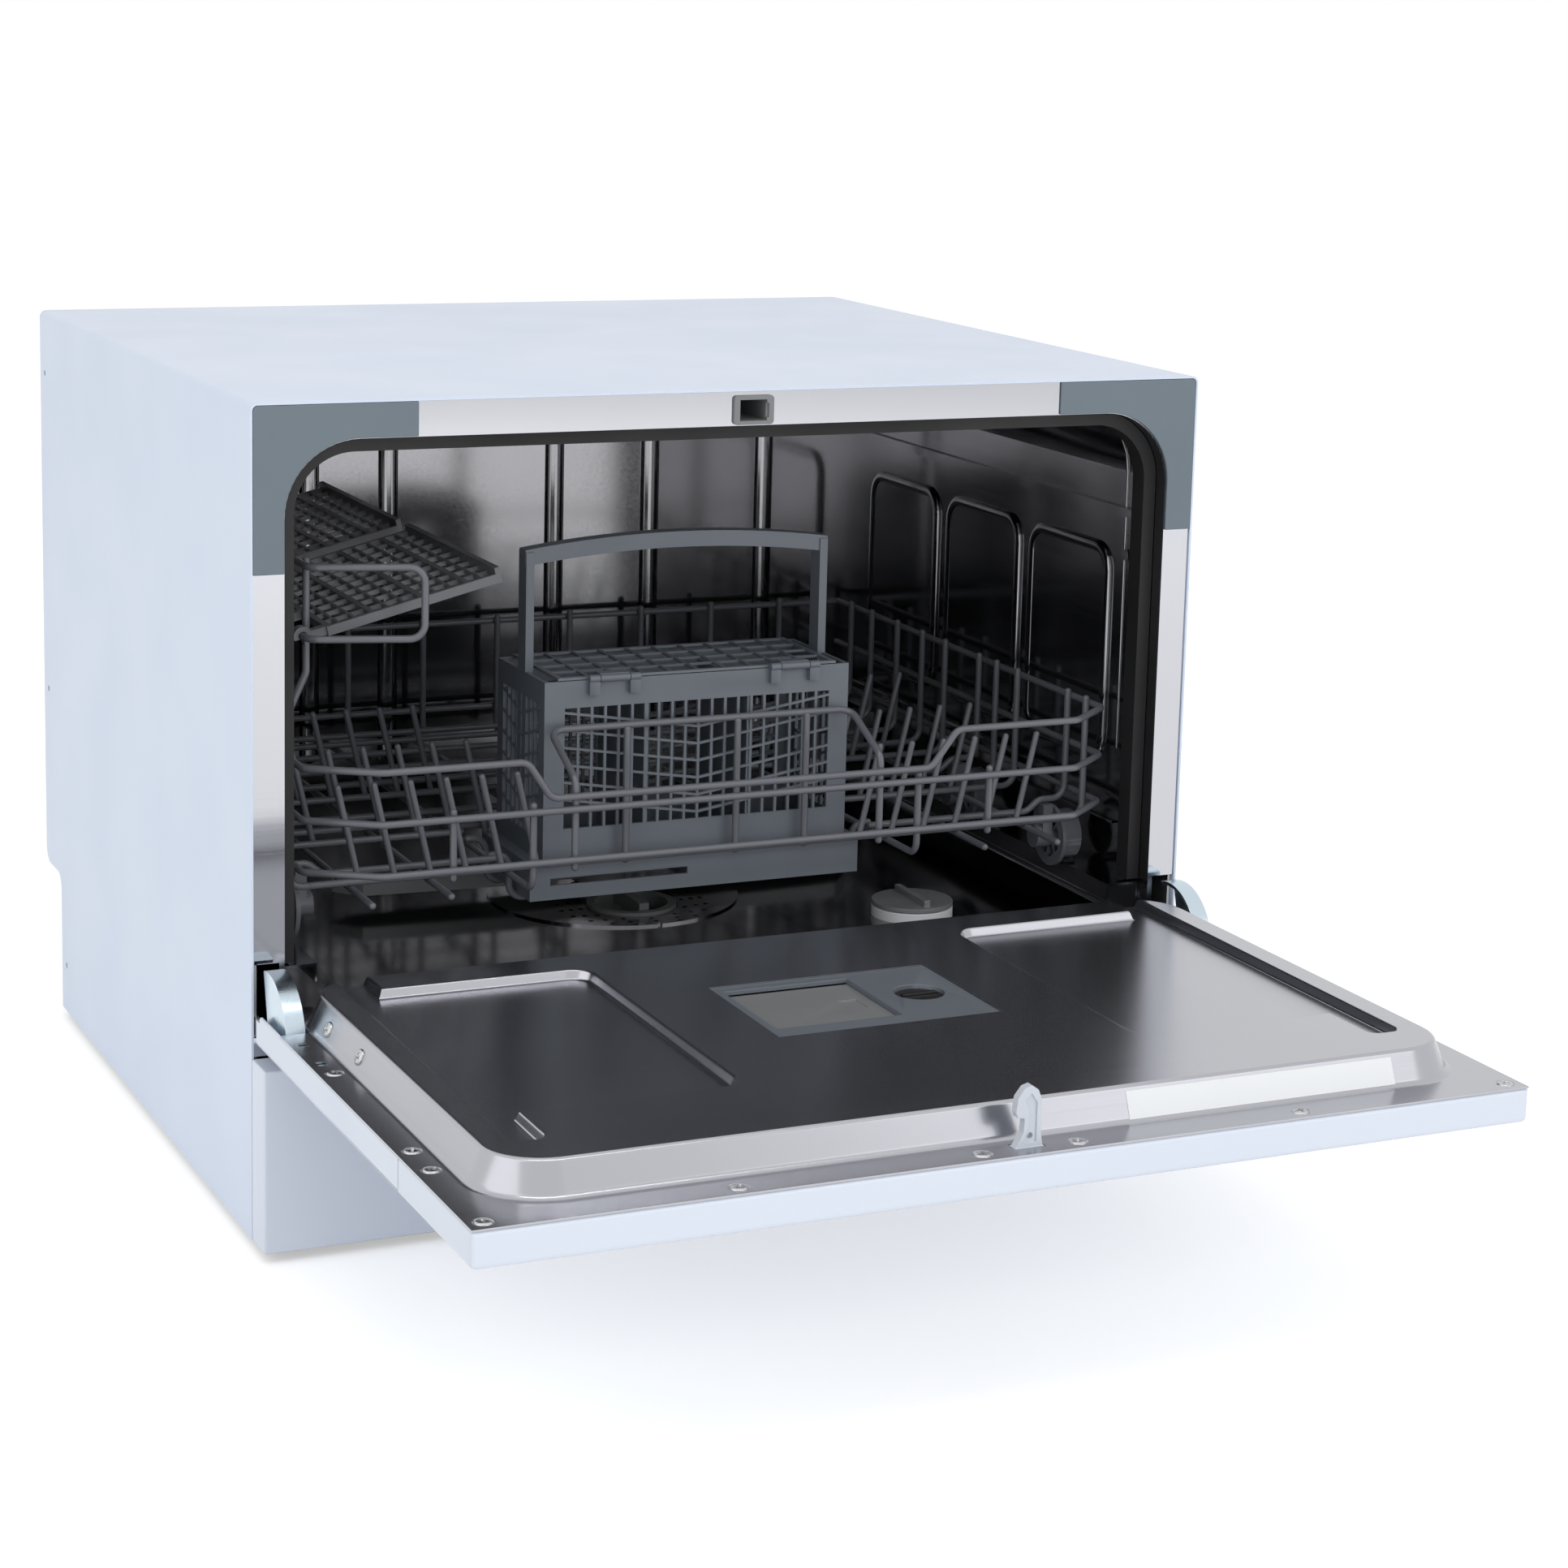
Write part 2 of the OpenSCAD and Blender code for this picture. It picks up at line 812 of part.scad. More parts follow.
module dispenser_body() {
  z = plateau_z;
  color(slate)
    difference() {
      union() {
        box([-61.7, -185.7, z - 20], [61.7, -98.3, z - 0.5]);
        box([-61.7, -98.4, z - 20], [61.7, -56, z - 1.3]);
      }
      // detergent chamber, rinse filler and the lane that the lid slides in
      box([-54, -166, z - 17.5], [8, -112, z]);
      bar_z(38, -140, z - 17, z, 13.3);
      box([-57, -172, z - 5.8], [13, -60, z - 2.9]);
      box([-57, -172, z - 5.8], [13, -106, z]);
    }
}

module dispenser_lid() {
  z = plateau_z;
  color(light)
    difference() {
      box([-56.6, -171.6, z - 5.5], [12.6, -106.4, z - 3.3]);
      box([-4, -146, z - 4.1], [6, -132, z]);
    }
}

module rinse_cap() {
  z = plateau_z;
  color(dark) {
    bar_z(38, -140, z - 12, z - 2.6, 12.9);
    box([28, -141.5, z - 2.7], [48, -138.5, z - 0.7]);
  }
}

module control_board() {
  y0 = door_end;
  color([0.1, 0.3, 0.16])
    difference() {
      box([-190, y0 + 32, skin_z + 3.4], [190, y0 + 80, skin_z + 5]);
      for (x = [-147, 147])
        bar_z(x, y0 + 12, skin_z, skin_z + 9, 5);
    }
  color(dark) {
    box([-45.7, y0 + 40.3, skin_z + 0.3], [45.7, y0 + 67.7, skin_z + 2.2]);
    box([-40, y0 + 44, skin_z + 2.1], [40, y0 + 64, skin_z + 3.5]);
    for (x = [-100, -80, 60, 75])
      box([x, y0 + 60, skin_z + 4.9], [x + 10, y0 + 72, skin_z + 10]);
  }
}

module push_button(x) {
  color(light) {
    bar_z(x, door_end + 54, skin_z - 1.2, skin_z + 1, 9);
    bar_z(x, door_end + 54, skin_z + 0.9, skin_z + 1.6, 6);
  }
}

module door_screws() {
  color(light)
    at_screws(-1000, 0)
      difference() {
        union() {
          translate([0, 0, flange_z - 0.75])
            cylinder(h = 0.9, r1 = 3.2, r2 = 4.4);
          translate([0, 0, flange_z - 9])
            cylinder(h = 8.5, r = 1.6);
        }
        translate([-2.6, -0.5, flange_z - 0.45])
          cube([5.2, 1, 1]);
        translate([-0.5, -2.6, flange_z - 0.45])
          cube([1, 5.2, 1]);
      }
}

// plain blank sticker on the front slope of the plateau
module blank_label() {
  g = atan(plateau_run / plateau_h);
  color([0.92, 0.92, 0.92])
    translate([0, plateau_y, flange_z])
      rotate([90 - g, 0, 0])
        translate([mouth_x - 196, 1, 0.02])
          cube([150, plateau_h - 2.5, 0.2]);
}

// Rack

module rack_front() {
  h = rx - 5 - lap;
  y = rk_f + lap;
  dip = rail_top - 21;
  color(grey) {
    wire([[-h, 62, rail_top], [-h, 39, rail_top], [-rx + 45, rk_f, rail_top], [-bx - 28, rk_f, rail_top],
      [-bx - 14, rk_f, dip], [bx + 29, rk_f, dip], [bx + 45, rk_f, rail_top], [rx - 31, rk_f, rail_top],
      [rx, 41, rail_top], [rx, 50, rail_top]]);
    for (z = [rail_mid, rail_low])
      wire([[-h, 62, z], [-h, 39, z], [-rx + 45, rk_f, z], [rx - 31, rk_f, z], [rx, 41, z], [rx, 50, z]]);
    // handle that leans back over the basket
    wire([[1 - bx, y, rail_low - 5], [1 - bx, y, rail_top - 13], [1 - bx, bask_y - 6, rail_top + 6],
      [bx - 1, bask_y - 6, rail_top + 6], [bx - 1, y, rail_top - 13], [bx - 1, y, rail_low - 5]]);
    for (x = [-rx + 85, rx - 85])
      rod([x, y, rail_low - 5], [x, y, rail_mid + 3], wr);
  }
}

// uprights of one side wall; each ends in the floor elbow
module hoop_side(s, top, x, y, kink) {
  head = kink ? [[s * (x - 10), y, top + 3], [s * (x - 10), y, 288], [s * x, y, 266]] : [[s * x, y, top]];
  z = floor_z;
  foot = over_wheel(y)
    ? [[s * x, y, z + 6.6], [s * (x - 17), y, z + 6.6], [s * (x - 25), y, z], [s * (x - 31), y, z]]
    : [[s * x, y, z], [s * (x - 12), y, z]];
  wire(concat(head, foot), br = 6);
}

function over_wheel(y) = min([for (w = wheel_ys) abs(w - y)]) < 20;
function is_tall(y) = min([for (t = tall_ys) abs(t - y)]) < 1;
function foot_in(y) = over_wheel(y) ? 31 : 12;

module rack_left() {
  x = rx - 5;
  color(grey) {
    for (z = [rail_top + 14, rail_low + 14])
      bar_y(-x - lap, 46, rk_b - 1, z, wr);
    for (y = hoop_ys)
      hoop_side(-1, is_tall(y) ? 345 : rail_top + 17, x, y, is_tall(y));
    // upper frame that carries the cup shelves
    wire([[rod_x, rk_b - 6, 347], [rod_x, 36, 347], [-rx + 69, 20, 347],
      [-rx + 69, 20, rod_z], [rod_x, 36, rod_z], [rod_x, rk_b - 6, rod_z]]);
  }
}

module rack_right() {
  color(grey) {
    for (z = [rail_top, rail_mid, rail_low])
      bar_y(rx, 50, rk_b - wr - 0.05, z, wr);
    for (y = hoop_ys)
      hoop_side(1, rail_top + 3, rx - lap - 0.05, y, false);
  }
}

module rack_back() {
  y = rk_b - lap;
  color(grey) {
    for (z = [rail_top, rail_low])
      bar_x(-rx + 2, rx + 1.5, rk_b, z, wr);
    for (k = [-4:4])
      bar_z(k * (rx - 45) / 4, y, floor_z - 1, rail_top + 3, wr);
    bar_z(-rx + 5, y, rail_low - 4, rail_top + 17, wr);
  }
}

module rack_floor() {
  zl = floor_z - lap;
  y0 = rk_f + lap;
  b0 = bask_y - 8;
  b1 = bask_y + bask_d + 8;
  color(grey) {
    for (y = hoop_ys) {
      xl = foot_in(y) - rx + 5;
      xr = rx - lap - 0.05 - foot_in(y);
      if (y > b0 && y < b1) {
        bar_x(xl, -bx - 22, y, floor_z, wr);
        bar_x(bx + 22, xr, y, floor_z, wr);
      } else
        bar_x(xl, xr, y, floor_z, wr);
    }
    for (s = [-1, 1]) {
      xs = s * (bx + 23);
      wire([[xs, y0, rail_mid + 3], [xs, y0, zl], [xs, rk_b - 6, zl]], br = 8);
      bar_y(s * (rx - 85), rk_f + 6, rk_b - 6, zl, wr);
      bar_y(s * (rx - 40), rk_f + 2, rk_b - 6, zl, wr);
    }
    for (x = [-60, 0, 60])
      bar_y(x, b1 - 1, rk_b - 6, zl, wr);
    bar_x(-bx - 24, bx + 24, b1 + 2, floor_z, wr);
    bar_x(-rx + 20, rx - 20, rk_b - 2 * lap, floor_z, wr);
    // upright wires between the rack's front and the basket
    for (x = [-46, 20.5, 63])
      bar_z(x, hoop_ys[0] + lap, floor_z - 2, rail_top + 3.9, wr);
    // sunk wires that the cutlery basket stands on
    low = bask_z - wr - 0.3;
    for (y = [bask_y + 18, bask_y + 56])
      wire([[-bx - 24, y, floor_z], [-bx - 13, y, floor_z], [-bx - 13, y, low],
        [bx + 13, y, low], [bx + 13, y, floor_z], [bx + 24, y, floor_z]], br = 5);
  }
}

tine_rows = [hoop_ys[0], hoop_ys[2], hoop_ys[5]];

module rack_tines() {
  x0 = bx + 6;
  step = (rx - 45.5 - x0) / 5;
  color(grey)
    for (y = tine_rows)
      for (s = [-1, 1])
        for (x = [for (k = [0:5]) x0 + k * step])
          rod([s * x, y + wr + 1.85, floor_z - 1], [s * (x + 12), y + wr + 1.85, floor_z + 51], 1.8);
}

module tine_comb() {
  color([0.06, 0.14, 0.6])
    difference() {
      union() {
        box([-rx + 12, along(75), floor_z + 2.3], [-rx + 18, along(270), floor_z + 12]);
        for (y = [for (k = [0:5]) along(85 + 30.6 * k)])
          along_x(-rx + 13.5, -rx + 16.5)
            polygon([[y - 4.5, floor_z + 10], [y + 4.5, floor_z + 10],
              [y + 2.2, floor_z + 49], [y - 2.2, floor_z + 49]]);
      }
      // saddle over the raised wire above the middle wheel
      box([-rx + 11, wheel_ys[1] - 8, floor_z], [-rx + 19, wheel_ys[1] + 8, floor_z + 9]);
    }
}

// fixed holders with a stub axle for each wheel
module axle_clips() {
  color(light)
    for (s = [-1, 1])
      for (y = wheel_ys)
        mirror([s > 0 ? 0 : 1, 0, 0]) {
          bar_x(wheel_x - 13, wheel_x - 2.8, y, axle_z, 7);
          bar_x(wheel_x - 3, rx - 0.4, y, axle_z, 2.8);
          bar_x(rx - 1.2, rx + 0.6, y, axle_z, 4);
          difference() {
            box([wheel_x - 9.4, y - 6, axle_z], [wheel_x - 3, y + 6, floor_z + 4.3]);
            box([wheel_x - 10, y - 3, axle_z + 9], [wheel_x - 2, y + 3, axle_z + 13]);
          }
        }
}

module wheel(s, y) {
  color(light)
    mirror([s > 0 ? 0 : 1, 0, 0])
      difference() {
        union() {
          bar_x(wheel_x - 2.4, wheel_x, y, axle_z, wheel_r + 4);
          bar_x(wheel_x - e, rx + 1.5, y, axle_z, wheel_r);
        }
        bar_x(wheel_x - 3, rx + 2, y, axle_z, 3.05);
        bar_x(rx - 1.6, rx + 2, y, axle_z, 4.6);
        for (side = [0, 1])
          for (a = [0:45:315])
            translate([0, y, axle_z])
              rotate([a, 0, 0])
                along_x(side ? rx - 2.5 : wheel_x - 3, side ? rx + 2 : wheel_x + 1.6)
                  polygon([[5.8, 0.2], [11.8, 1.6], [11.8, 6.4], [8.6, 8.9], [3.9, 4.3]]);
      }
}

// Cutlery basket

// 2D lattice between two edges: slats and V-shaped cross lines
module lattice(x0, x1, z0, z1, n, drop) {
  w = x1 - x0;
  for (i = [1:n])
    translate([x0 + w * i / (n + 1) - 0.8, z0 - 1])
      square([1.6, z1 - z0 + 2]);
  for (i = [0:5]) {
    z = z0 + drop + 3 + (z1 - z0 - drop - 6) * i / 5;
    polygon([[x0 - 1, z], [(x0 + x1) / 2, z - drop], [x1 + 1, z],
      [x1 + 1, z + 1.4], [(x0 + x1) / 2, z - drop + 1.4], [x0 - 1, z + 1.4]]);
  }
}

module cutlery_basket() {
  x = bask_w / 2;
  y0 = bask_y;
  y1 = bask_y + bask_d;
  t = 2;
  zb = bask_z;
  zf = bask_z + 19;
  top = bask_top - 1.8;
  color(slate) {
    // front and rear walls
    for (y = [y0, y1 - t])
      along_y(y, y + t) {
        difference() {
          translate([-x, zf])
            square([2 * x, top - zf]);
          translate([-x + 12, zf + 20])
            square([2 * x - 24, bask_top - 37 - zf]);
        }
        lattice(-x + 12, x - 12, zf + 20, bask_top - 17, 19, 13);
      }
    // end walls
    for (s = [-1, 1])
      along_x(s * (x - t / 2) - t / 2, s * (x - t / 2) + t / 2) {
        difference() {
          translate([y0 + t - e, zf])
            square([bask_d - 2 * t + 2 * e, top - zf]);
          translate([y0 + 9, zf + 14])
            square([bask_d - 18, bask_top - 29 - zf]);
        }
        lattice(y0 + 9, y1 - 9, zf + 14, bask_top - 15, 7, 9);
      }
    // floor with drain slots and the wider foot
    difference() {
      box([-x - 8, y0 - 2, zb], [x + 8, y1 + 2, zf + 2]);
      box([-x - 6, y0, zb - 1], [x + 6, y1, zf]);
      for (xx = [-80:16:80])
        box([xx - 5, y0 + 8, zf - 1], [xx + 5, y1 - 8, zf + 3]);
      box([-x + 4, y0 - 3, zb + 8], [-6, y0 + 1, zb + 12]);
    }
    for (xx = [-96, 0, 96])
      box([xx - 1, y0 - 1, zb], [xx + 1, y1 + 1, zf + 0.5]);
    // inner walls that part the compartments
    for (xx = [-x / 3, x / 3])
      box([xx - 0.8, y0 + 1, zf + 1], [xx + 0.8, y1 - 1, top - 8]);
    // carry handle
    for (s = [-1, 1])
      box([s * (x - 2.6) - 2.4, y0 + bask_d / 2 - 6, zf + 40],
        [s * (x - 2.6) + 2.4, y0 + bask_d / 2 + 6, 338]);
    handle_bar(x);
  }
  // hinge knuckles for the lid
  color(slate)
    for (xx = [-52, 57])
      for (d = [-12, 12])
        union() {
          bar_x(xx + d - 3, xx + d + 3, y0 - 2.6, bask_top - 0.6, 2.2);
          box([xx + d - 3, y0 - 4, top - 8], [xx + d + 3, y0 + 0.5, bask_top - 1.5]);
        }
  color(slate)
    for (xx = [-52, 57])
      bar_x(xx - 10, xx + 10, y0 - 2.6, bask_top - 0.6, 1.1);
}

// gently arched bar joining the two handle posts
module handle_bar(x) {
  y = bask_y + bask_d / 2;
  r = 640;
  zc = 346 - r;
  intersection() {
    along_y(y - 5, y + 5)
      difference() {
        translate([0, zc])
          circle(r = r, $fn = 180);
        translate([0, zc])
          circle(r = r - 9, $fn = 180);
      }
    box([-x, y - 6, 325], [x, y + 6, 350]);
  }
}

module basket_lid() {
  x = bask_w / 2 - 8;
  y0 = bask_y + 0.6;
  y1 = bask_y + bask_d - 2.4;
  z0 = bask_top - 1.4;
  z1 = bask_top;
  color(slate) {
    difference() {
      box([-x, y0, z0], [x, y1, z1]);
      for (i = [0:9])
        for (j = [0:3])
          box([-x + 3 + i * (2 * x - 4) / 10, y0 + 3 + j * (y1 - y0 - 4) / 4, z0 - 1],
            [-x + 1 + (i + 1) * (2 * x - 4) / 10, y0 + 1 + (j + 1) * (y1 - y0 - 4) / 4, z1 + 1]);
    }
    for (xx = [-52, 57])
      difference() {
        union() {
          bar_x(xx - 8.6, xx + 8.6, y0 - 3.2, bask_top - 0.6, 2.2);
          box([xx - 8.6, y0 - 3.2, bask_top - 0.6], [xx + 8.6, y0 + 1, bask_top + 2]);
          box([xx - 8.6, y0 - 1, z0], [xx + 8.6, y0 + 4, bask_top + 2]);
        }
        bar_x(xx - 12, xx + 12, y0 - 3.2, bask_top - 0.6, 1.4);
      }
  }
}

// Cup shelf

// folding plastic shelf clipped on the rod, drawn flat and then tilted
module cup_shelf(q0, q1, clips) {
  y0 = along(q0);
  y1 = along(q1);
  len = 112;
  color(light)
    translate([rod_x, 0, rod_z])
      rotate([0, -14, 0]) {
        for (y = [for (q = clips) along(q)])
          difference() {
            union() {
              bar_y(0, y - 3, y + 3, 0, 5);
              box([0, y - 3, -3], [14, y + 3, 1.5]);
            }
            bar_y(0, y - 4, y + 4, 0, 2.4);
            box([-6, y - 4, -6], [0, y + 4, -1.2]);
          }
        for (y = [y0, y1 - 3])
          box([13, y, -3.5], [len, y + 3, 1.5]);
        for (x = [13, 38, 66, 92])
          box([x, y0 + 1, -3.5], [x + 3, y1 - 1, 1.5]);
        box([len - 3, y0, -3.5], [len, y1, 5]);
        n = round((y1 - y0) / 15);
        for (i = [1:n - 1])
          box([13.5, y0 + i * (y1 - y0) / n - 1, -1.2], [len - 2, y0 + i * (y1 - y0) / n + 1, 1.2]);
        for (x = [20, 29, 48, 57, 75, 84, 101])
          box([x, y0 + 1, -1.2], [x + 1.6, y1 - 1, 1.2]);
      }
}

// Parts that turn in the tub

module spray_arm() {
  z0 = tub_floor + 9.6;
  color(light)
    difference() {
      union() {
        bar_z(0, arm_y, tub_floor + 4, z0 + 12, 17);
        bar_z(0, arm_y, z0 + 11, z0 + 14.5, 9);
        for (s = [-1, 1])
          translate([0, arm_y, z0])
            linear_extrude(9)
              polygon([[0, -17], [s * 60, -22], [s * (arm_r - 14), -15], [s * arm_r, 0],
              [s * (arm_r - 14), 13], [s * 60, 17], [0, 17]]);
      }
      bar_z(0, arm_y, tub_floor, z0 + 10, 6.4);
      for (s = [-1, 1])
        for (k = [0:3])
          bar_z(s * (45 + k * (arm_r - 67) / 3), arm_y - 2, z0 + 5, z0 + 10, 2);
      for (s = [-1, 1])
        translate([0, arm_y, z0 + 2])
          linear_extrude(5)
            polygon([[s * 20, -12], [s * 60, -17], [s * (arm_r - 18), -11], [s * (arm_r - 18), 9],
              [s * 60, 12], [s * 20, 12]]);
    }
}

module filter_cup() {
  color(light)
    difference() {
      union() {
        bar_z(0, cup_y, tub_floor - 40, tub_floor + 1, 24);
        bar_z(0, cup_y, tub_floor - 2, tub_floor + 3, 26.5);
        box([-3, cup_y - 20, tub_floor + 2], [3, cup_y + 20, tub_floor + 7]);
      }
      difference() {
        bar_z(0, cup_y, tub_floor - 38, tub_floor + 4, 21.5);
        box([-3, cup_y - 23, tub_floor - 2], [3, cup_y + 23, tub_floor + 8]);
      }
    }
}

module salt_cap() {
  color(light)
    difference() {
      union() {
        bar_z(150, 90, tub_floor - 14, tub_floor + 6.4, 17.9);
        bar_z(150, 90, tub_floor + 6.3, tub_floor + 9, 24);
        box([148, 70, tub_floor + 8], [152, 110, tub_floor + 13]);
      }
      bar_z(150, 90, tub_floor - 15, tub_floor + 4, 15.5);
    }
}

// Placing

place() outer_casing();
place() rear_panel();
place() base_tray();
place() kick_panel();
place() feet();
place() front_frame();
place() corner_trim(-1);  // corner_trim_left
place() corner_trim(1);  // corner_trim_right
place() tub();
place() door_gasket();
place() door_lock();
place() rack_track(-1);  // rack_track_left
place() rack_track(1);  // rack_track_right
place() filter_plate();
place() sump();
place() wash_pump();
place() drain_pump();
place() water_heater();
place() softener();
place() inlet_valve();
place() hose_fittings();
place() hinge_mount(-1);  // hinge_mount_left
place() hinge_mount(1);  // hinge_mount_right
place() door_panel();
place() control_fascia();
place() inner_tray();
place() latch_hook();
place() dispenser_body();
place() control_board();
place() door_screws();
place() hinge_arm(-1);  // hinge_arm_left
place() hinge_arm(1);  // hinge_arm_right
place() blank_label();
place() dispenser_lid();
place() rinse_cap();
place() push_button(button_xs[0]);  // button_power
place() push_button(button_xs[1]);  // button_program
place() push_button(button_xs[2]);  // button_start
place() spray_arm();
place() filter_cup();
place() salt_cap();
place() rack_front();
place() rack_left();
place() rack_right();
place() rack_back();
place() rack_floor();
place() rack_tines();
place() tine_comb();
place() axle_clips();
place() cutlery_basket();
place() basket_lid();
place() cup_shelf(29, 181, [33.5, 79, 123, 172]);  // cup_shelf_front
place() cup_shelf(197, 349, [203, 247, 302, 343]);  // cup_shelf_rear
place() wheel(-1, wheel_ys[0]);  // wheel_front_left
place() wheel(-1, wheel_ys[1]);  // wheel_mid_left
place() wheel(-1, wheel_ys[2]);  // wheel_rear_left
place() wheel(1, wheel_ys[0]);  // wheel_front_right
place() wheel(1, wheel_ys[1]);  // wheel_mid_right
place() wheel(1, wheel_ys[2]);  // wheel_rear_right
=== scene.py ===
import json
import math
import bmesh
import bpy
import mathutils
from mathutils import Matrix, Vector


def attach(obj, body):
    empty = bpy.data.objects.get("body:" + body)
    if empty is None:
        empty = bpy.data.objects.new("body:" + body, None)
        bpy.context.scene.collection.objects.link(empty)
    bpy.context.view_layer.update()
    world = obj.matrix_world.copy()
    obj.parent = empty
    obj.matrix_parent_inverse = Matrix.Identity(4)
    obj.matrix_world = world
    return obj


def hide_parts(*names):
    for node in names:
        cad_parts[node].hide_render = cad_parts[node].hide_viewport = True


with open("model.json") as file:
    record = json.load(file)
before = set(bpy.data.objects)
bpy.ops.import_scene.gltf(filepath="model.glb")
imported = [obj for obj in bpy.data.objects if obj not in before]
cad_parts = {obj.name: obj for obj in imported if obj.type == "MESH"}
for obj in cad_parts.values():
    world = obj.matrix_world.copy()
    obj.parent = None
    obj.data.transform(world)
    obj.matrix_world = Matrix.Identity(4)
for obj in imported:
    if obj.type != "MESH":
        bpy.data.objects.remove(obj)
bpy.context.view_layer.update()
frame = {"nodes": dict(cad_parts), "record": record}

NODES = frame["nodes"]
SCENE = bpy.context.scene

# Sizes in millimetres, measured from the front frame's face and the casing's lower edge
MID_Y = 68.35  # middle of the whole box, behind the front frame's face
FOOT = 5.0  # height of the feet under the casing

# The rack with its wires
WIRE = 4.0
TINE_WIRE = 3.6
LAP = 3.5  # from wire to wire where two cross and are welded
RAIL_X = 245.0
HOOP_X = 240.0
FRONT_Y = 15.0
BACK_Y = 400.0
FLOOR_Z = 172.0
RAIL_TOP, RAIL_MID, RAIL_LOW = 240.0, 212.0, 184.0
# Where the front rails turn back: x on the front, then y at the turn and at the end
LEFT_CORNER, RIGHT_CORNER = (-200.0, 39.0, 62.0), (RAIL_X - 31.0, 41.0, 50.0)
BAY_DROP = 21.0
ROD_X, ROD_Z, GUARD_Z = -234.05, 309.0, 347.0
BASKET_Y, BASKET_D = 65.0, 75.0
CRADLE_Z = 146.7
WHEEL_YS = (75.5, 188.0, 371.0)
HOOP_YS = (54, 75.5, 138, 165, 188, 234, 266, 302, 340, 371)
TALL_YS = (54, 165, 302, 371)
TINE_YS = (54, 138, 234)
TINE_FIRST, TINE_STEP, TINE_LEAN, TINE_HIGH = 98.0, 20.3, 12.0, 51.0

# The door and its pressed liner
DOOR_X, DOOR_END, DOOR_LOW = 275.0, -339.3, 107.3
FLANGE_Z, PLATEAU_Z = 125.5, 142.0


def at(x, y, z):
    """Millimetres from the front frame to metres in the part's own frame."""
    return Vector((x, y - MID_Y, z + FOOT)) / 1000.0


# Camera at the photograph's place
IMAGE = 1932
FOCAL_PIXELS = 4204.13
CENTRE_X, CENTRE_Y = 989.92, 719.69
CAMERA_AT = (-0.7386, -1.71422, 0.65848)
CAMERA_TURN = (25.0828, -10.0643, 1.5044)  # azimuth, elevation and roll in degrees


def place_camera():
    az, el, roll = (math.radians(a) for a in CAMERA_TURN)
    ahead = Vector((math.sin(az) * math.cos(el), math.cos(az) * math.cos(el), math.sin(el)))
    flat_right = Vector((math.cos(az), -math.sin(az), 0.0))
    flat_up = flat_right.cross(ahead)
    right = math.cos(roll) * flat_right + math.sin(roll) * flat_up
    up = -math.sin(roll) * flat_right + math.cos(roll) * flat_up
    lens = bpy.data.cameras.new("photo_camera")
    lens.sensor_width = 36.0
    lens.lens = FOCAL_PIXELS / IMAGE * lens.sensor_width
    lens.shift_x = (IMAGE / 2 - CENTRE_X) / IMAGE
    lens.shift_y = (CENTRE_Y - IMAGE / 2) / IMAGE
    lens.clip_start = 0.05
    lens.clip_end = 50.0
    camera = bpy.data.objects.new("photo_camera", lens)
    turn = Matrix((right, up, -ahead)).transposed().to_4x4()
    camera.matrix_world = Matrix.Translation(CAMERA_AT) @ turn
    SCENE.collection.objects.link(camera)
    SCENE.camera = camera


place_camera()
SCENE.view_settings.view_transform = "Standard"


# Shader groups
GRAIN_DEPTH = 0.0001


def new_group(name, inputs, outputs):
    group = bpy.data.node_groups.new(name, "ShaderNodeTree")
    for label, kind, value in inputs:
        socket = group.interface.new_socket(label, in_out="INPUT", socket_type=kind)
        if value is not None:
            socket.default_value = value
    for label, kind in outputs:
        group.interface.new_socket(label, in_out="OUTPUT", socket_type=kind)
    nodes = group.nodes
    return group, nodes, group.links, nodes.new("NodeGroupInput"), nodes.new("NodeGroupOutput")


def make_grain_group():
    """Fine moulded or painted grain: a roughness value and a normal."""
    group, nodes, links, inp, out = new_group("fine_grain", [
        ("Scale", "NodeSocketFloat", 900.0), ("Low Rough", "NodeSocketFloat", 0.35),
        ("High Rough", "NodeSocketFloat", 0.5), ("Bump", "NodeSocketFloat", 0.1)],
        [("Roughness", "NodeSocketFloat"), ("Normal", "NodeSocketVector")])
    where = nodes.new("ShaderNodeTexCoord")
    noise = nodes.new("ShaderNodeTexNoise")
    noise.inputs["Detail"].default_value = 3.0
    cloud = nodes.new("ShaderNodeTexNoise")
    cloud.inputs["Scale"].default_value = 14.0
    cloud.inputs["Detail"].default_value = 2.0
    spread = nodes.new("ShaderNodeMapRange")
    bump = nodes.new("ShaderNodeBump")
    bump.inputs["Distance"].default_value = GRAIN_DEPTH
    links.new(where.outputs["Object"], noise.inputs["Vector"])
    links.new(where.outputs["Object"], cloud.inputs["Vector"])
    links.new(inp.outputs["Scale"], noise.inputs["Scale"])
    links.new(cloud.outputs["Fac"], spread.inputs["Value"])
    spread.inputs["From Min"].default_value = 0.35
    spread.inputs["From Max"].default_value = 0.65
    links.new(inp.outputs["Low Rough"], spread.inputs["To Min"])
    links.new(inp.outputs["High Rough"], spread.inputs["To Max"])
    links.new(noise.outputs["Fac"], bump.inputs["Height"])
    links.new(inp.outputs["Bump"], bump.inputs["Strength"])
    links.new(spread.outputs["Result"], out.inputs["Roughness"])
    links.new(bump.outputs["Normal"], out.inputs["Normal"])
    return group


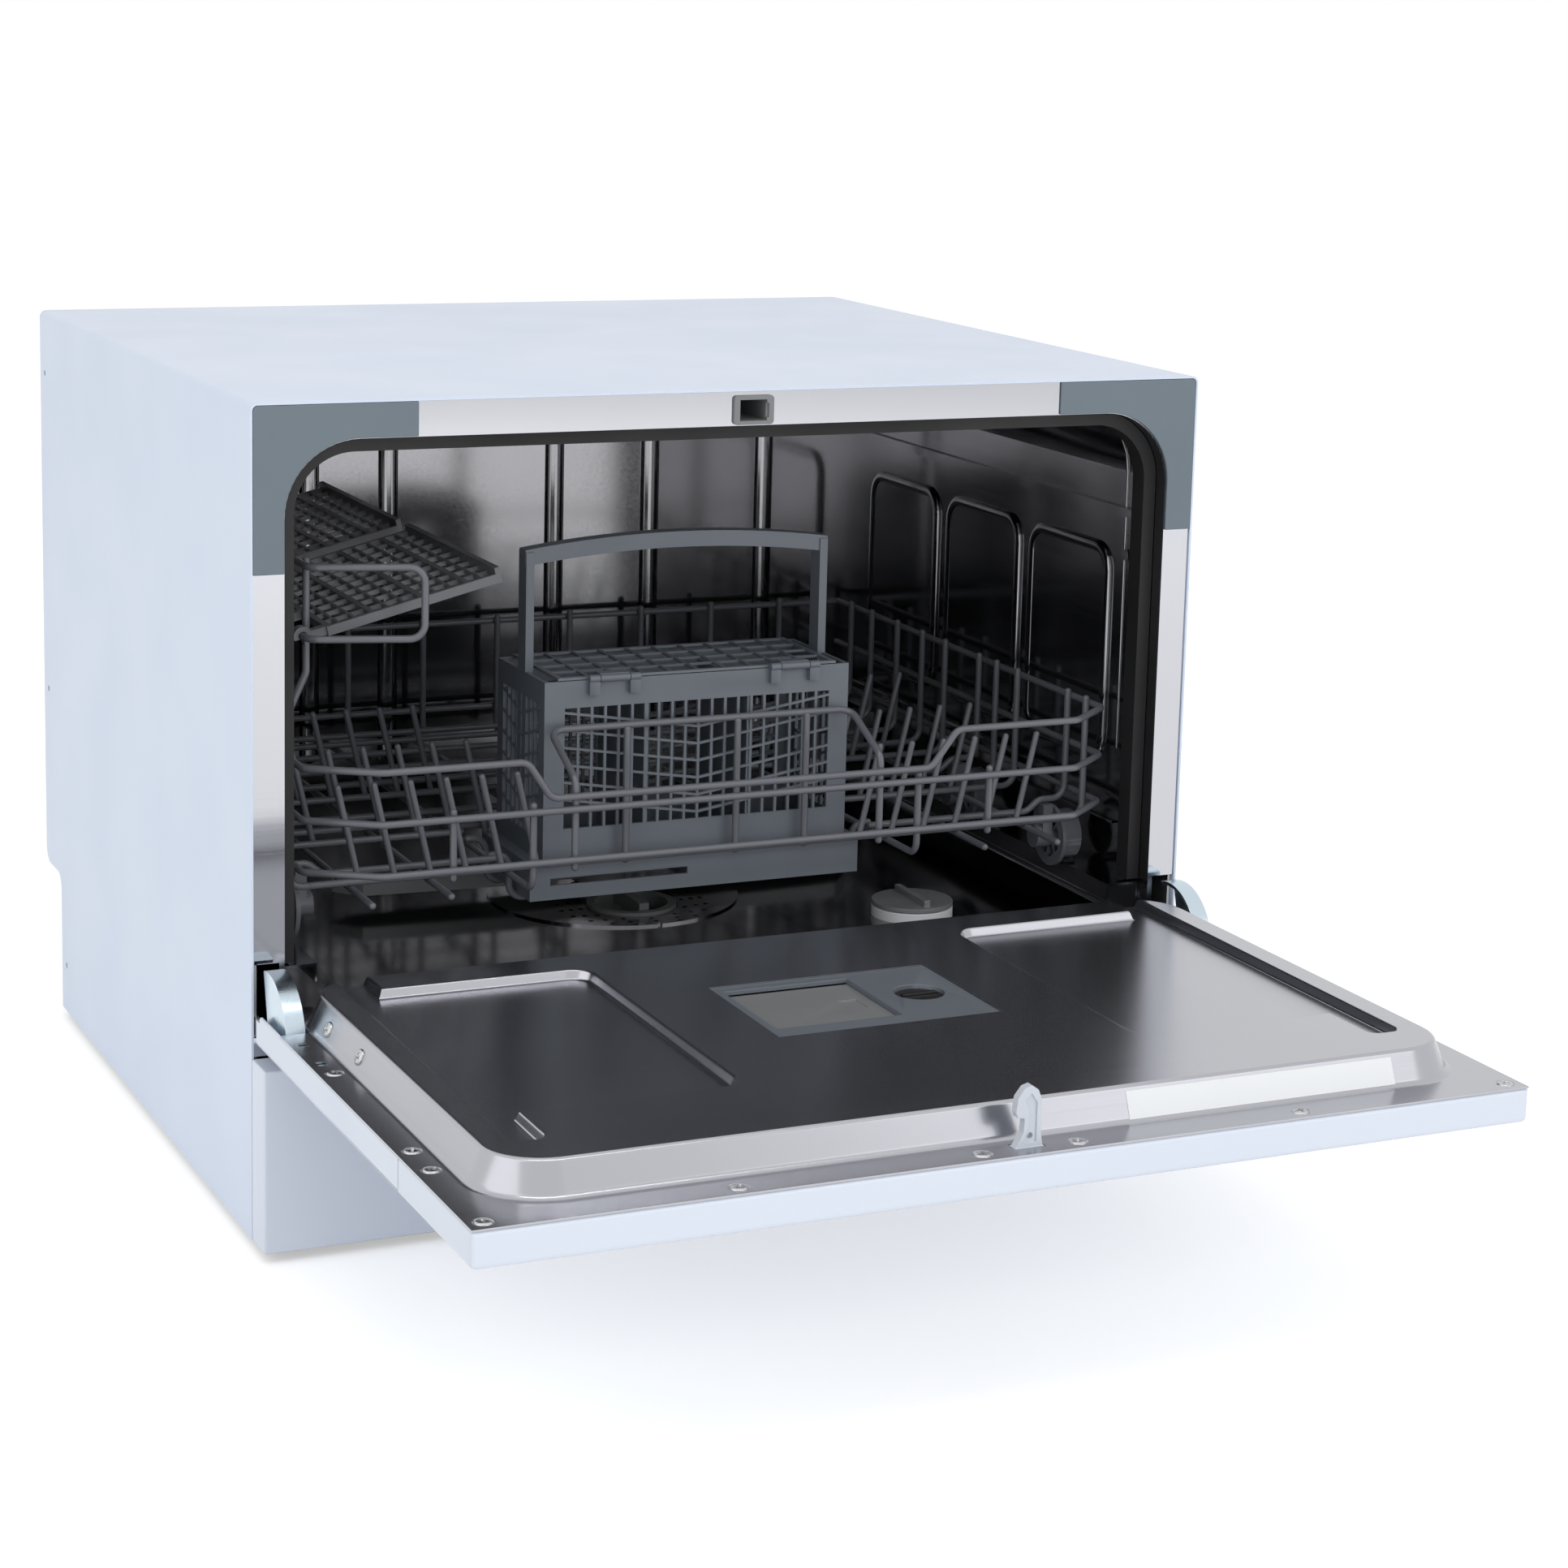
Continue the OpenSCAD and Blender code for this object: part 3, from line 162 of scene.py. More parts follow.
def make_brushed_group():
    """Lines left by rolling or brushing a steel sheet, along one axis."""
    group, nodes, links, inp, out = new_group("brushed_lines", [
        ("Stretch", "NodeSocketVector", (8.0, 900.0, 900.0)),
        ("Low Rough", "NodeSocketFloat", 0.2), ("High Rough", "NodeSocketFloat", 0.4),
        ("Bump", "NodeSocketFloat", 0.1), ("Dark", "NodeSocketFloat", 0.9)],
        [("Roughness", "NodeSocketFloat"), ("Normal", "NodeSocketVector"),
         ("Shade", "NodeSocketFloat")])
    where = nodes.new("ShaderNodeTexCoord")
    mapping = nodes.new("ShaderNodeMapping")
    noise = nodes.new("ShaderNodeTexNoise")
    noise.inputs["Scale"].default_value = 1.0
    noise.inputs["Detail"].default_value = 4.0
    noise.inputs["Roughness"].default_value = 0.65
    cloud = nodes.new("ShaderNodeTexNoise")
    cloud.inputs["Scale"].default_value = 9.0
    spread = nodes.new("ShaderNodeMapRange")
    spread.inputs["From Min"].default_value = 0.3
    spread.inputs["From Max"].default_value = 0.7
    shade = nodes.new("ShaderNodeMapRange")
    shade.inputs["From Min"].default_value = 0.3
    shade.inputs["From Max"].default_value = 0.7
    shade.inputs["To Max"].default_value = 1.0
    bump = nodes.new("ShaderNodeBump")
    bump.inputs["Distance"].default_value = GRAIN_DEPTH
    links.new(where.outputs["Object"], mapping.inputs["Vector"])
    links.new(inp.outputs["Stretch"], mapping.inputs["Scale"])
    links.new(mapping.outputs["Vector"], noise.inputs["Vector"])
    links.new(where.outputs["Object"], cloud.inputs["Vector"])
    links.new(noise.outputs["Fac"], spread.inputs["Value"])
    links.new(inp.outputs["Low Rough"], spread.inputs["To Min"])
    links.new(inp.outputs["High Rough"], spread.inputs["To Max"])
    links.new(cloud.outputs["Fac"], shade.inputs["Value"])
    links.new(inp.outputs["Dark"], shade.inputs["To Min"])
    links.new(noise.outputs["Fac"], bump.inputs["Height"])
    links.new(inp.outputs["Bump"], bump.inputs["Strength"])
    links.new(spread.outputs["Result"], out.inputs["Roughness"])
    links.new(bump.outputs["Normal"], out.inputs["Normal"])
    links.new(shade.outputs["Result"], out.inputs["Shade"])
    return group


def make_tone_group():
    """A colour that drifts a little between two tones over the surface."""
    group, nodes, links, inp, out = new_group("two_tones", [
        ("Scale", "NodeSocketFloat", 20.0), ("Tone A", "NodeSocketColor", (0.5, 0.5, 0.5, 1.0)),
        ("Tone B", "NodeSocketColor", (0.6, 0.6, 0.6, 1.0))], [("Color", "NodeSocketColor")])
    where = nodes.new("ShaderNodeTexCoord")
    noise = nodes.new("ShaderNodeTexNoise")
    noise.inputs["Detail"].default_value = 5.0
    mix = nodes.new("ShaderNodeMix")
    mix.data_type = "RGBA"
    links.new(where.outputs["Object"], noise.inputs["Vector"])
    links.new(inp.outputs["Scale"], noise.inputs["Scale"])
    links.new(noise.outputs["Fac"], mix.inputs["Factor"])
    links.new(inp.outputs["Tone A"], mix.inputs[6])
    links.new(inp.outputs["Tone B"], mix.inputs[7])
    links.new(mix.outputs[2], out.inputs["Color"])
    return group


GRAIN = make_grain_group()
BRUSHED = make_brushed_group()
TONES = make_tone_group()


def new_material(name):
    mat = bpy.data.materials.new(name)
    mat.use_nodes = True
    nodes, links = mat.node_tree.nodes, mat.node_tree.links
    return mat, nodes, links, nodes["Principled BSDF"]


def use_group(nodes, group, **values):
    node = nodes.new("ShaderNodeGroup")
    node.node_tree = group
    for label, value in values.items():
        node.inputs[label.replace("_", " ")].default_value = value
    return node


def drift(color, amount):
    return tuple(min(1.0, c * (1 + amount)) for c in color) + (1.0,)


def plastic(name, color, low, high, grain=900.0, bump=0.1, change=0.06):
    """Moulded plastic, rubber, paint or wire coating, its roughness between low and high."""
    mat, nodes, links, shader = new_material(name)
    tone = use_group(nodes, TONES, Scale=25.0,
                     Tone_A=drift(color, -change), Tone_B=drift(color, change))
    skin = use_group(nodes, GRAIN, Scale=grain, Low_Rough=low, High_Rough=high, Bump=bump)
    links.new(tone.outputs["Color"], shader.inputs["Base Color"])
    links.new(skin.outputs["Roughness"], shader.inputs["Roughness"])
    links.new(skin.outputs["Normal"], shader.inputs["Normal"])
    return mat


def steel(name, color, low, high, stretch=(8.0, 900.0, 900.0), bump=0.1, dark=0.9):
    """Stainless or zinc-plated sheet with its rolling lines along the least stretched axis."""
    mat, nodes, links, shader = new_material(name)
    lines = use_group(nodes, BRUSHED, Stretch=stretch, Low_Rough=low, High_Rough=high,
                      Bump=bump, Dark=dark)
    tint = nodes.new("ShaderNodeMix")
    tint.data_type = "RGBA"
    tint.inputs[6].default_value = drift(color, -0.25)
    tint.inputs[7].default_value = drift(color, 0.0)
    links.new(lines.outputs["Shade"], tint.inputs["Factor"])
    links.new(tint.outputs[2], shader.inputs["Base Color"])
    links.new(lines.outputs["Roughness"], shader.inputs["Roughness"])
    links.new(lines.outputs["Normal"], shader.inputs["Normal"])
    shader.inputs["Metallic"].default_value = 1.0
    return mat


PAINT = plastic("white_sheet_paint", (0.66, 0.745, 0.89), 0.3, 0.38,
                grain=500.0, bump=0.03, change=0.01)
PANEL = plastic("white_panel_plastic", (0.7, 0.755, 0.855), 0.28, 0.34,
                grain=700.0, bump=0.03, change=0.01)
TRAY = steel("door_liner_steel", (0.462, 0.466, 0.5), 0.22, 0.26,
             stretch=(5.0, 900.0, 900.0), bump=0.01, dark=0.88)
FRAME_STEEL = steel("front_frame_steel", (0.52, 0.53, 0.565), 0.07, 0.11,
                    stretch=(5.0, 700.0, 700.0), bump=0.01)
TUB_STEEL = steel("tub_steel", (0.3, 0.3, 0.315), 0.1, 0.15,
                  stretch=(500.0, 8.0, 500.0), bump=0.01, dark=0.85)
ZINC = steel("zinc_plate", (0.58, 0.68, 0.75), 0.16, 0.3, stretch=(60.0, 60.0, 60.0), bump=0.06)
GALVANISED = steel("galvanised_sheet", (0.55, 0.56, 0.57), 0.35, 0.5,
                   stretch=(40.0, 40.0, 60.0), bump=0.1)
SCREW = steel("screw_steel", (0.55, 0.56, 0.57), 0.15, 0.3,
              stretch=(300.0, 300.0, 300.0), bump=0.1)
COATING = plastic("wire_coating", (0.13, 0.136, 0.154), 0.18, 0.26,
                  grain=700.0, bump=0.06, change=0.04)
SLATE = plastic("basket_plastic", (0.135, 0.153, 0.178), 0.34, 0.46, grain=1100.0, bump=0.1)
LIGHT_GREY = plastic("light_grey_plastic", (0.2, 0.205, 0.21), 0.38, 0.5, grain=1000.0, bump=0.12)
SHELF = plastic("shelf_plastic", (0.13, 0.133, 0.145), 0.3, 0.4, grain=1000.0, bump=0.08)
WHEEL = plastic("wheel_plastic", (0.125, 0.133, 0.15), 0.34, 0.44, grain=1000.0, bump=0.08)
TRIM = plastic("trim_plastic", (0.14, 0.178, 0.21), 0.38, 0.48, grain=900.0, bump=0.06)
HOOK = plastic("hook_plastic", (0.58, 0.62, 0.68), 0.3, 0.42, grain=900.0, bump=0.1)
BLACK = plastic("black_plastic", (0.012, 0.012, 0.013), 0.35, 0.5,
                grain=1000.0, bump=0.1, change=0.2)
RUBBER = plastic("seal_rubber", (0.009, 0.009, 0.01), 0.5, 0.65,
                 grain=1300.0, bump=0.2, change=0.2)
FOOT_RUBBER = plastic("foot_rubber", (0.02, 0.02, 0.021), 0.6, 0.75,
                      grain=800.0, bump=0.2, change=0.2)
BASE = plastic("base_plastic", (0.09, 0.095, 0.1), 0.45, 0.6, grain=900.0, bump=0.15)
BLUE = plastic("blue_plastic", (0.005, 0.018, 0.15), 0.3, 0.42,
               grain=1000.0, bump=0.08, change=0.1)
WHITE_PLASTIC = plastic("white_plastic", (0.75, 0.77, 0.79), 0.35, 0.45,
                        grain=1000.0, bump=0.08, change=0.02)
BOARD = plastic("board_lacquer", (0.006, 0.016, 0.011), 0.16, 0.26,
                grain=600.0, bump=0.1, change=0.2)
LABEL = plastic("label_film", (0.8, 0.82, 0.84), 0.3, 0.36, grain=500.0, bump=0.03, change=0.01)

FINISH = {
    "outer_casing": PAINT, "kick_panel": PANEL, "door_panel": PANEL, "control_fascia": PANEL,
    "rear_panel": GALVANISED, "hinge_mount_left": GALVANISED, "hinge_mount_right": GALVANISED,
    "base_tray": BASE, "feet": FOOT_RUBBER, "door_gasket": RUBBER, "front_frame": FRAME_STEEL,
    "tub": TUB_STEEL, "rack_track_left": TUB_STEEL, "rack_track_right": TUB_STEEL,
    "filter_plate": TUB_STEEL, "water_heater": TUB_STEEL, "inner_tray": TRAY, "door_screws": SCREW,
    "corner_trim_left": TRIM, "corner_trim_right": TRIM, "door_lock": LIGHT_GREY,
    "sump": BLACK, "drain_pump": BLACK, "hose_fittings": BLACK, "rinse_cap": BLACK,
    "softener": WHITE_PLASTIC, "inlet_valve": WHITE_PLASTIC, "wash_pump": LIGHT_GREY,
    "rack_front": COATING, "rack_left": COATING, "rack_right": COATING, "rack_back": COATING,
    "rack_floor": COATING, "rack_tines": COATING, "cutlery_basket": SLATE, "basket_lid": SLATE,
    "dispenser_body": SLATE, "tine_comb": BLUE, "hinge_arm_left": ZINC, "hinge_arm_right": ZINC,
    "control_board": BOARD, "blank_label": LABEL, "latch_hook": HOOK, "axle_clips": WHEEL,
    "cup_shelf_front": SHELF, "cup_shelf_rear": SHELF,
}


def dress(obj, mat):
    for slot in obj.material_slots:
        slot.material = mat
    if not obj.material_slots:
        obj.data.materials.append(mat)


for name, obj in NODES.items():
    dress(obj, FINISH.get(name, WHEEL if name.startswith("wheel_") else LIGHT_GREY))


# Shared mesh tools
def finish_mesh(name, mesh, mat, sharp):
    """An object of this mesh, smooth but for edges sharper than the angle."""
    mesh.materials.clear()
    mesh.materials.append(mat)
    mesh.update()
    for face in mesh.polygons:
        face.use_smooth = True
    mesh.set_sharp_from_angle(angle=math.radians(sharp))
    obj = bpy.data.objects.new(name, mesh)
    SCENE.collection.objects.link(obj)
    return obj


def finish_bmesh(name, built, mat, sharp):
    mesh = bpy.data.meshes.new(name)
    built.to_mesh(mesh)
    built.free()
    return finish_mesh(name, mesh, mat, sharp)


def plain_mesh(obj):
    """The evaluated object as a plain mesh, with its modifiers gone."""
    bpy.context.view_layer.update()
    deps = bpy.context.evaluated_depsgraph_get()
    mesh = bpy.data.meshes.new_from_object(obj.evaluated_get(deps), depsgraph=deps)
    obj.modifiers.clear()
    return mesh


# Geometry Nodes tree that sweeps a round wire along every chain of edges, with rounded ends
def make_wire_tree():
    tree = bpy.data.node_groups.new("round_wire", "GeometryNodeTree")
    tree.interface.new_socket("Edges", in_out="INPUT", socket_type="NodeSocketGeometry")
    tree.interface.new_socket("Wire", in_out="OUTPUT", socket_type="NodeSocketGeometry")
    for label, kind, value in (("Diameter", "NodeSocketFloat", 0.004),
                               ("Bend", "NodeSocketFloat", 0.008),
                               ("Sides", "NodeSocketInt", 14),
                               ("Finish", "NodeSocketMaterial", None)):
        socket = tree.interface.new_socket(label, in_out="INPUT", socket_type=kind)
        if value is not None:
            socket.default_value = value
    nodes, links = tree.nodes, tree.links
    inp, out = nodes.new("NodeGroupInput"), nodes.new("NodeGroupOutput")
    to_curve = nodes.new("GeometryNodeMeshToCurve")
    fillet = nodes.new("GeometryNodeFilletCurve")
    fillet.mode = "POLY"
    fillet.inputs["Count"].default_value = 6
    fillet.inputs["Limit Radius"].default_value = True
    half = nodes.new("ShaderNodeMath")
    half.operation = "DIVIDE"
    half.inputs[1].default_value = 2.0
    circle = nodes.new("GeometryNodeCurvePrimitiveCircle")
    sweep = nodes.new("GeometryNodeCurveToMesh")
    ends = nodes.new("GeometryNodeCurveEndpointSelection")
    ball = nodes.new("GeometryNodeMeshIcoSphere")
    ball.inputs["Subdivisions"].default_value = 3
    on_ends = nodes.new("GeometryNodeInstanceOnPoints")
    real = nodes.new("GeometryNodeRealizeInstances")
    join = nodes.new("GeometryNodeJoinGeometry")
    smooth = nodes.new("GeometryNodeSetShadeSmooth")
    paint = nodes.new("GeometryNodeSetMaterial")
    links.new(inp.outputs["Edges"], to_curve.inputs[0])
    links.new(to_curve.outputs[0], fillet.inputs["Curve"])
    links.new(inp.outputs["Bend"], fillet.inputs["Radius"])
    links.new(inp.outputs["Diameter"], half.inputs[0])
    links.new(half.outputs[0], circle.inputs["Radius"])
    links.new(inp.outputs["Sides"], circle.inputs["Resolution"])
    links.new(fillet.outputs["Curve"], sweep.inputs["Curve"])
    links.new(circle.outputs["Curve"], sweep.inputs["Profile Curve"])
    sweep.inputs["Fill Caps"].default_value = True
    links.new(sweep.outputs["Mesh"], join.inputs[0])
    links.new(half.outputs[0], ball.inputs["Radius"])
    links.new(to_curve.outputs[0], on_ends.inputs["Points"])
    links.new(ends.outputs[0], on_ends.inputs["Selection"])
    links.new(ball.outputs["Mesh"], on_ends.inputs["Instance"])
    links.new(on_ends.outputs["Instances"], join.inputs[0])
    links.new(join.outputs[0], real.inputs[0])
    links.new(real.outputs[0], smooth.inputs[0])
    links.new(smooth.outputs[0], paint.inputs["Geometry"])
    links.new(inp.outputs["Finish"], paint.inputs["Material"])
    links.new(paint.outputs[0], out.inputs[0])
    return tree


WIRE_TREE = make_wire_tree()


def socket_id(tree, label):
    for item in tree.interface.items_tree:
        if item.item_type == "SOCKET" and item.in_out == "INPUT" and item.name == label:
            return item.identifier
    raise KeyError(label)


def swept(name, chains, mat, diameter=WIRE, bend=8.0, sides=14):
    """One mesh of round wires, each chain a list of points in millimetres."""
    verts, edges = [], []
    for chain in chains:
        first = len(verts)
        verts += [tuple(at(*p)) for p in chain]
        edges += [(first + i, first + i + 1) for i in range(len(chain) - 1)]
    mesh = bpy.data.meshes.new(name + "_path")
    mesh.from_pydata(verts, edges, [])
    obj = bpy.data.objects.new(name, mesh)
    SCENE.collection.objects.link(obj)
    mod = obj.modifiers.new("sweep", "NODES")
    mod.node_group = WIRE_TREE
    mod[socket_id(WIRE_TREE, "Diameter")] = diameter / 1000.0
    mod[socket_id(WIRE_TREE, "Bend")] = bend / 1000.0
    mod[socket_id(WIRE_TREE, "Sides")] = sides
    mod[socket_id(WIRE_TREE, "Finish")] = mat
    obj.data = plain_mesh(obj)
    return obj


# The rack's coated wires
def line_x(x0, x1, y, z):
    return [(x0, y, z), (x1, y, z)]


def line_y(x, y0, y1, z):
    return [(x, y0, z), (x, y1, z)]


def line_z(x, y, z0, z1):
    return [(x, y, z0), (x, y, z1)]


def over_wheel(y):
    return min(abs(w - y) for w in WHEEL_YS) < 20


def foot_in(y):
    """How far a side wire runs in under the rack."""
    return 31 if over_wheel(y) else 12


def hoop(side, top, x, y):
    """A side wire and its foot, which rises over a wheel; tall ones carry the cup shelves."""
    head = [(side * x, y, top)]
    if y in TALL_YS and side < 0:
        inner = side * (x - 10)
        head = [(inner, y, GUARD_Z + 1), (inner, y, 288), (side * x, y, 266)]
    z = FLOOR_Z
    foot = [(side * x, y, z), (side * (x - foot_in(y)), y, z)]
    if over_wheel(y):
        lift = z + 6.6
        foot = [(side * x, y, lift), (side * (x - 17), y, lift),
                (side * (x - 25), y, z), (side * (x - foot_in(y)), y, z)]
    return head + foot


def front_wires():
    """Three rails round the front corners, the top one with a bay, and the basket's arch."""
    x_left, y_left, y_left_end = LEFT_CORNER
    x_right, y_right, y_right_end = RIGHT_CORNER
    side, y = HOOP_X - LAP, FRONT_Y + LAP
    low, dip, sill = RAIL_LOW - 5, RAIL_TOP - BAY_DROP, RAIL_TOP - 13
    chains = []
    for z in (RAIL_TOP, RAIL_MID, RAIL_LOW):
        bay = [(-120, FRONT_Y, z), (-106, FRONT_Y, dip), (121, FRONT_Y, dip), (137, FRONT_Y, z)]
        chains.append([(-side, y_left_end, z), (-side, y_left, z), (x_left, FRONT_Y, z)]
                      + (bay if z == RAIL_TOP else [])
                      + [(x_right, FRONT_Y, z), (RAIL_X, y_right, z), (RAIL_X, y_right_end, z)])
    arch_x, arch_y, arch_z = 91, BASKET_Y - 6, RAIL_TOP + 6
    chains.append([(-arch_x, y, low), (-arch_x, y, sill), (-arch_x, arch_y, arch_z),
                   (arch_x, arch_y, arch_z), (arch_x, y, sill), (arch_x, y, low)])
    chains += [line_z(x, y, low, RAIL_MID + 3) for x in (-160, 160)]
    return chains


def left_wires():
    """Two rails, the side wires, and the long loop of the shelf rod and its guard."""
    chains = [line_y(-HOOP_X - LAP, 46, BACK_Y - 1, z) for z in (RAIL_TOP + 14, RAIL_LOW + 14)]
    chains += [hoop(-1, RAIL_TOP + 17, HOOP_X, y) for y in HOOP_YS]
    loop = [(ROD_X, BACK_Y - 6), (ROD_X, 36), (-176, 20)]
    chains.append([(x, y, GUARD_Z) for x, y in loop] + [(x, y, ROD_Z) for x, y in reversed(loop)])
    return chains


def right_wires():
    chains = [line_y(RAIL_X, RIGHT_CORNER[2], BACK_Y, z) for z in (RAIL_TOP, RAIL_MID, RAIL_LOW)]
    chains += [hoop(1, RAIL_TOP + 3, RAIL_X - LAP, y) for y in HOOP_YS]
    return chains


def back_wires():
    y = BACK_Y - LAP
    chains = [line_x(-RAIL_X + 2, RAIL_X, BACK_Y, z) for z in (RAIL_TOP, RAIL_LOW)]
    chains += [line_z(x, y, FLOOR_Z - 1, RAIL_TOP + 3) for x in range(-200, 201, 50)]
    chains.append(line_z(-RAIL_X + 5, y, RAIL_LOW - 4, RAIL_TOP + 17))
    return chains


def floor_wires():
    """Wires across and along the floor, round the basket's well, and the basket's cradle."""
    low, back = FLOOR_Z - LAP, BACK_Y - 6
    y0 = FRONT_Y + LAP
    well_x, well_front, well_back = 115, BASKET_Y - 8, BASKET_Y + BASKET_D + 8
    chains = []
    for y in HOOP_YS:
        left, right = foot_in(y) - HOOP_X, RAIL_X - LAP - foot_in(y)
        if well_front < y < well_back:
            chains += [line_x(left, 1 - well_x, y, FLOOR_Z), line_x(well_x - 1, right, y, FLOOR_Z)]
        else:
            chains.append(line_x(left, right, y, FLOOR_Z))
    for s in (-1, 1):
        chains.append([(s * well_x, y0, RAIL_MID + 3)] + line_y(s * well_x, y0, back, low))
        chains.append(line_y(s * 160, FRONT_Y + 6, back, low))
        chains.append(line_y(s * 205, FRONT_Y + 2, back, low))
    chains += [line_y(x, well_back - 1, back, low) for x in (-60, 0, 60)]
    chains.append(line_x(-well_x - 1, well_x + 1, well_back + 2, FLOOR_Z))
    chains.append(line_x(-RAIL_X + 20, RAIL_X - 20, BACK_Y - 2 * LAP, FLOOR_Z))
    chains += [line_z(x, HOOP_YS[0] + LAP, FLOOR_Z - 2, RAIL_TOP + 4) for x in (-46, 20.5, 63)]
    for y in (BASKET_Y + 18, BASKET_Y + 56):
        half = [(well_x + 1, FLOOR_Z), (105, FLOOR_Z), (105, CRADLE_Z)]
        chains.append([(-x, y, z) for x, z in half] + [(x, y, z) for x, z in reversed(half)])
    return chains


def tine_wires():
    chains = []
    for y in TINE_YS:
        y += (WIRE + TINE_WIRE) / 2 + 0.05
        for s in (-1, 1):
            for k in range(6):
                x = TINE_FIRST + TINE_STEP * k
                chains.append([(s * x, y, FLOOR_Z - 1),
                               (s * (x + TINE_LEAN), y, FLOOR_Z + TINE_HIGH)])
    return chains


for name, chains, size in (("rack_front", front_wires(), WIRE),
                           ("rack_left", left_wires(), WIRE),
                           ("rack_right", right_wires(), WIRE),
                           ("rack_back", back_wires(), WIRE),
                           ("rack_floor", floor_wires(), WIRE),
                           ("rack_tines", tine_wires(), TINE_WIRE)):
    wires = swept(name + "_wires", chains, COATING, diameter=size)
    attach(wires, "rack")
    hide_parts(name)


# Pressed steel liner of the door: contour lines laid out flat, then lifted to their heights
def arc(cx, cy, r, start, steps):
    """A quarter turn of points round a corner's centre, from an angle in degrees."""
    turns = [math.radians(start + 90 * i / steps) for i in range(steps + 1)]
    return [(cx + r * math.cos(a), cy + r * math.sin(a)) for a in turns]


def rounded_loop(x0, y0, x1, y1, r, steps):
    corners = ((x1 - r, y0 + r, -90), (x1 - r, y1 - r, 0),
               (x0 + r, y1 - r, 90), (x0 + r, y0 + r, 180))
    return [point for cx, cy, start in corners for point in arc(cx, cy, r, start, steps)]


def round_loop(cx, cy, r, steps):
    turns = [2 * math.pi * i / steps for i in range(steps)]
    return [(cx + r * math.cos(a), cy + r * math.sin(a)) for a in turns]


def box_distance(x, y, x0, y0, x1, y1, r):
    """Distance from a rounded rectangle, below 0 inside it."""
    dx = abs(x - (x0 + x1) / 2) - (x1 - x0) / 2 + r
    dy = abs(y - (y0 + y1) / 2) - (y1 - y0) / 2 + r
    return math.hypot(max(dx, 0.0), max(dy, 0.0)) + min(max(dx, dy), 0.0) - r


def pressed_profile(run, rise, low_r, high_r, steps=5):
    """Distance and height along a pressed step, from the low side to the high side."""
    turn = math.atan2(rise, run)
    low_t, high_t = low_r * math.tan(turn / 2), high_r * math.tan(turn / 2)
    points = []
    for i in range(steps + 1):
        a = turn * i / steps
        points.append((-low_t + low_r * math.sin(a), low_r * (1 - math.cos(a))))
    for i in range(steps, -1, -1):
        a = turn * i / steps
        points.append((run + high_t - high_r * math.sin(a), rise - high_r * (1 - math.cos(a))))
    return points


def height_along(profile, d):
    if d <= profile[0][0]:
        return profile[0][1]
    for (d0, h0), (d1, h1) in zip(profile, profile[1:]):
        if d <= d1:
            return h0 + (h1 - h0) * (d - d0) / (d1 - d0)
    return profile[-1][1]


# Outlines: left, front, right, back and corner radius
PLATEAU = (-258.0, DOOR_END + 22, 258.0, -12.0, 35.0)
PAN = (108.0, -245.0, 236.1, -44.0, 12.0)
LANE = (220.1, DOOR_END + 57, 236.1, 20.0, 5.0)
STEP_RUN, PAN_DEEP, PAN_OUT = 7.0, 5.0, 0.9
STEP_UP = pressed_profile(STEP_RUN, PLATEAU_Z - FLANGE_Z, 4.6, 2.8, 8)
PAN_EDGE = pressed_profile(1.8, PAN_DEEP, 1.6, 1.6)
# The sheet's own outline, its ears beside the hinges, and its openings
SHEET_X, SHEET_FRONT, SHEET_BACK = 274.7, DOOR_END + 0.3, -9.0
EAR_X, EAR_Y = 259.2, -51.0
DISPENSER_HOLE = (62.0, -186.0, -98.0)
HOOK_HOLE = (8.0, DOOR_END + 8, DOOR_END + 16)
HINGE_X, HINGE_YS = (266.0, 270.5), ((-104.0, -97.0), (-72.0, -66.0))
# Screws along the flange, each in a shallow dimple with a hole in the middle
SCREW_X, SCREW_Y = 266.5, DOOR_END + 8.5
SCREWS = [(s * x, y) for s in (-1, 1) for x, y in (
    (SCREW_X, -116.5), (SCREW_X, -235), (SCREW_X, -262),
    (SCREW_X, SCREW_Y), (147, SCREW_Y), (25, SCREW_Y))]
DIMPLE = [(0.0, 0.0), (0.4, 0.06), (0.9, 0.35), (1.4, 0.8), (1.9, 1.0)]
DIMPLE_R, DIMPLE_DEEP, DIMPLE_RINGS = 5.4, 0.8, (5.4, 5.0, 4.5, 4.0, 3.5, 2.4)


def pan_loop(s, g):
    """The pan and its lane as one outline on side s, grown by g."""
    x0, y0, x1, y1, r = PAN
    a0, b0, _, _, q = LANE
    loop = [(x1 + g, LANE[3]), (a0 - g, LANE[3]), (a0 - g, y1 + g)]
    loop += arc(x0 + r, y1 - r, r + g, 90, 8) + arc(x0 + r, y0 + r, r + g, 180, 8)
    loop.append((a0 - g, y0 - g))
    loop += arc(a0 + q, b0 + q, q + g, 180, 6) + arc(x1 - q, b0 + q, q + g, 270, 6)
    return [(s * x, y) for x, y in loop]


def tray_height(x, y):
    z = height_along(STEP_UP, -box_distance(x, y, *PLATEAU))
    if z > 6:
        d = min(box_distance(abs(x), y, *PAN), box_distance(abs(x), y, *LANE))
        z = min(z, PLATEAU_Z - FLANGE_Z - PAN_DEEP + height_along(PAN_EDGE, d + PAN_OUT))
    for cx, cy in SCREWS:
        d = math.hypot(x - cx, y - cy)
        if d < DIMPLE_R + 0.01:
            z = -DIMPLE_DEEP * height_along(DIMPLE, DIMPLE_R - d)
    return FLANGE_Z + z


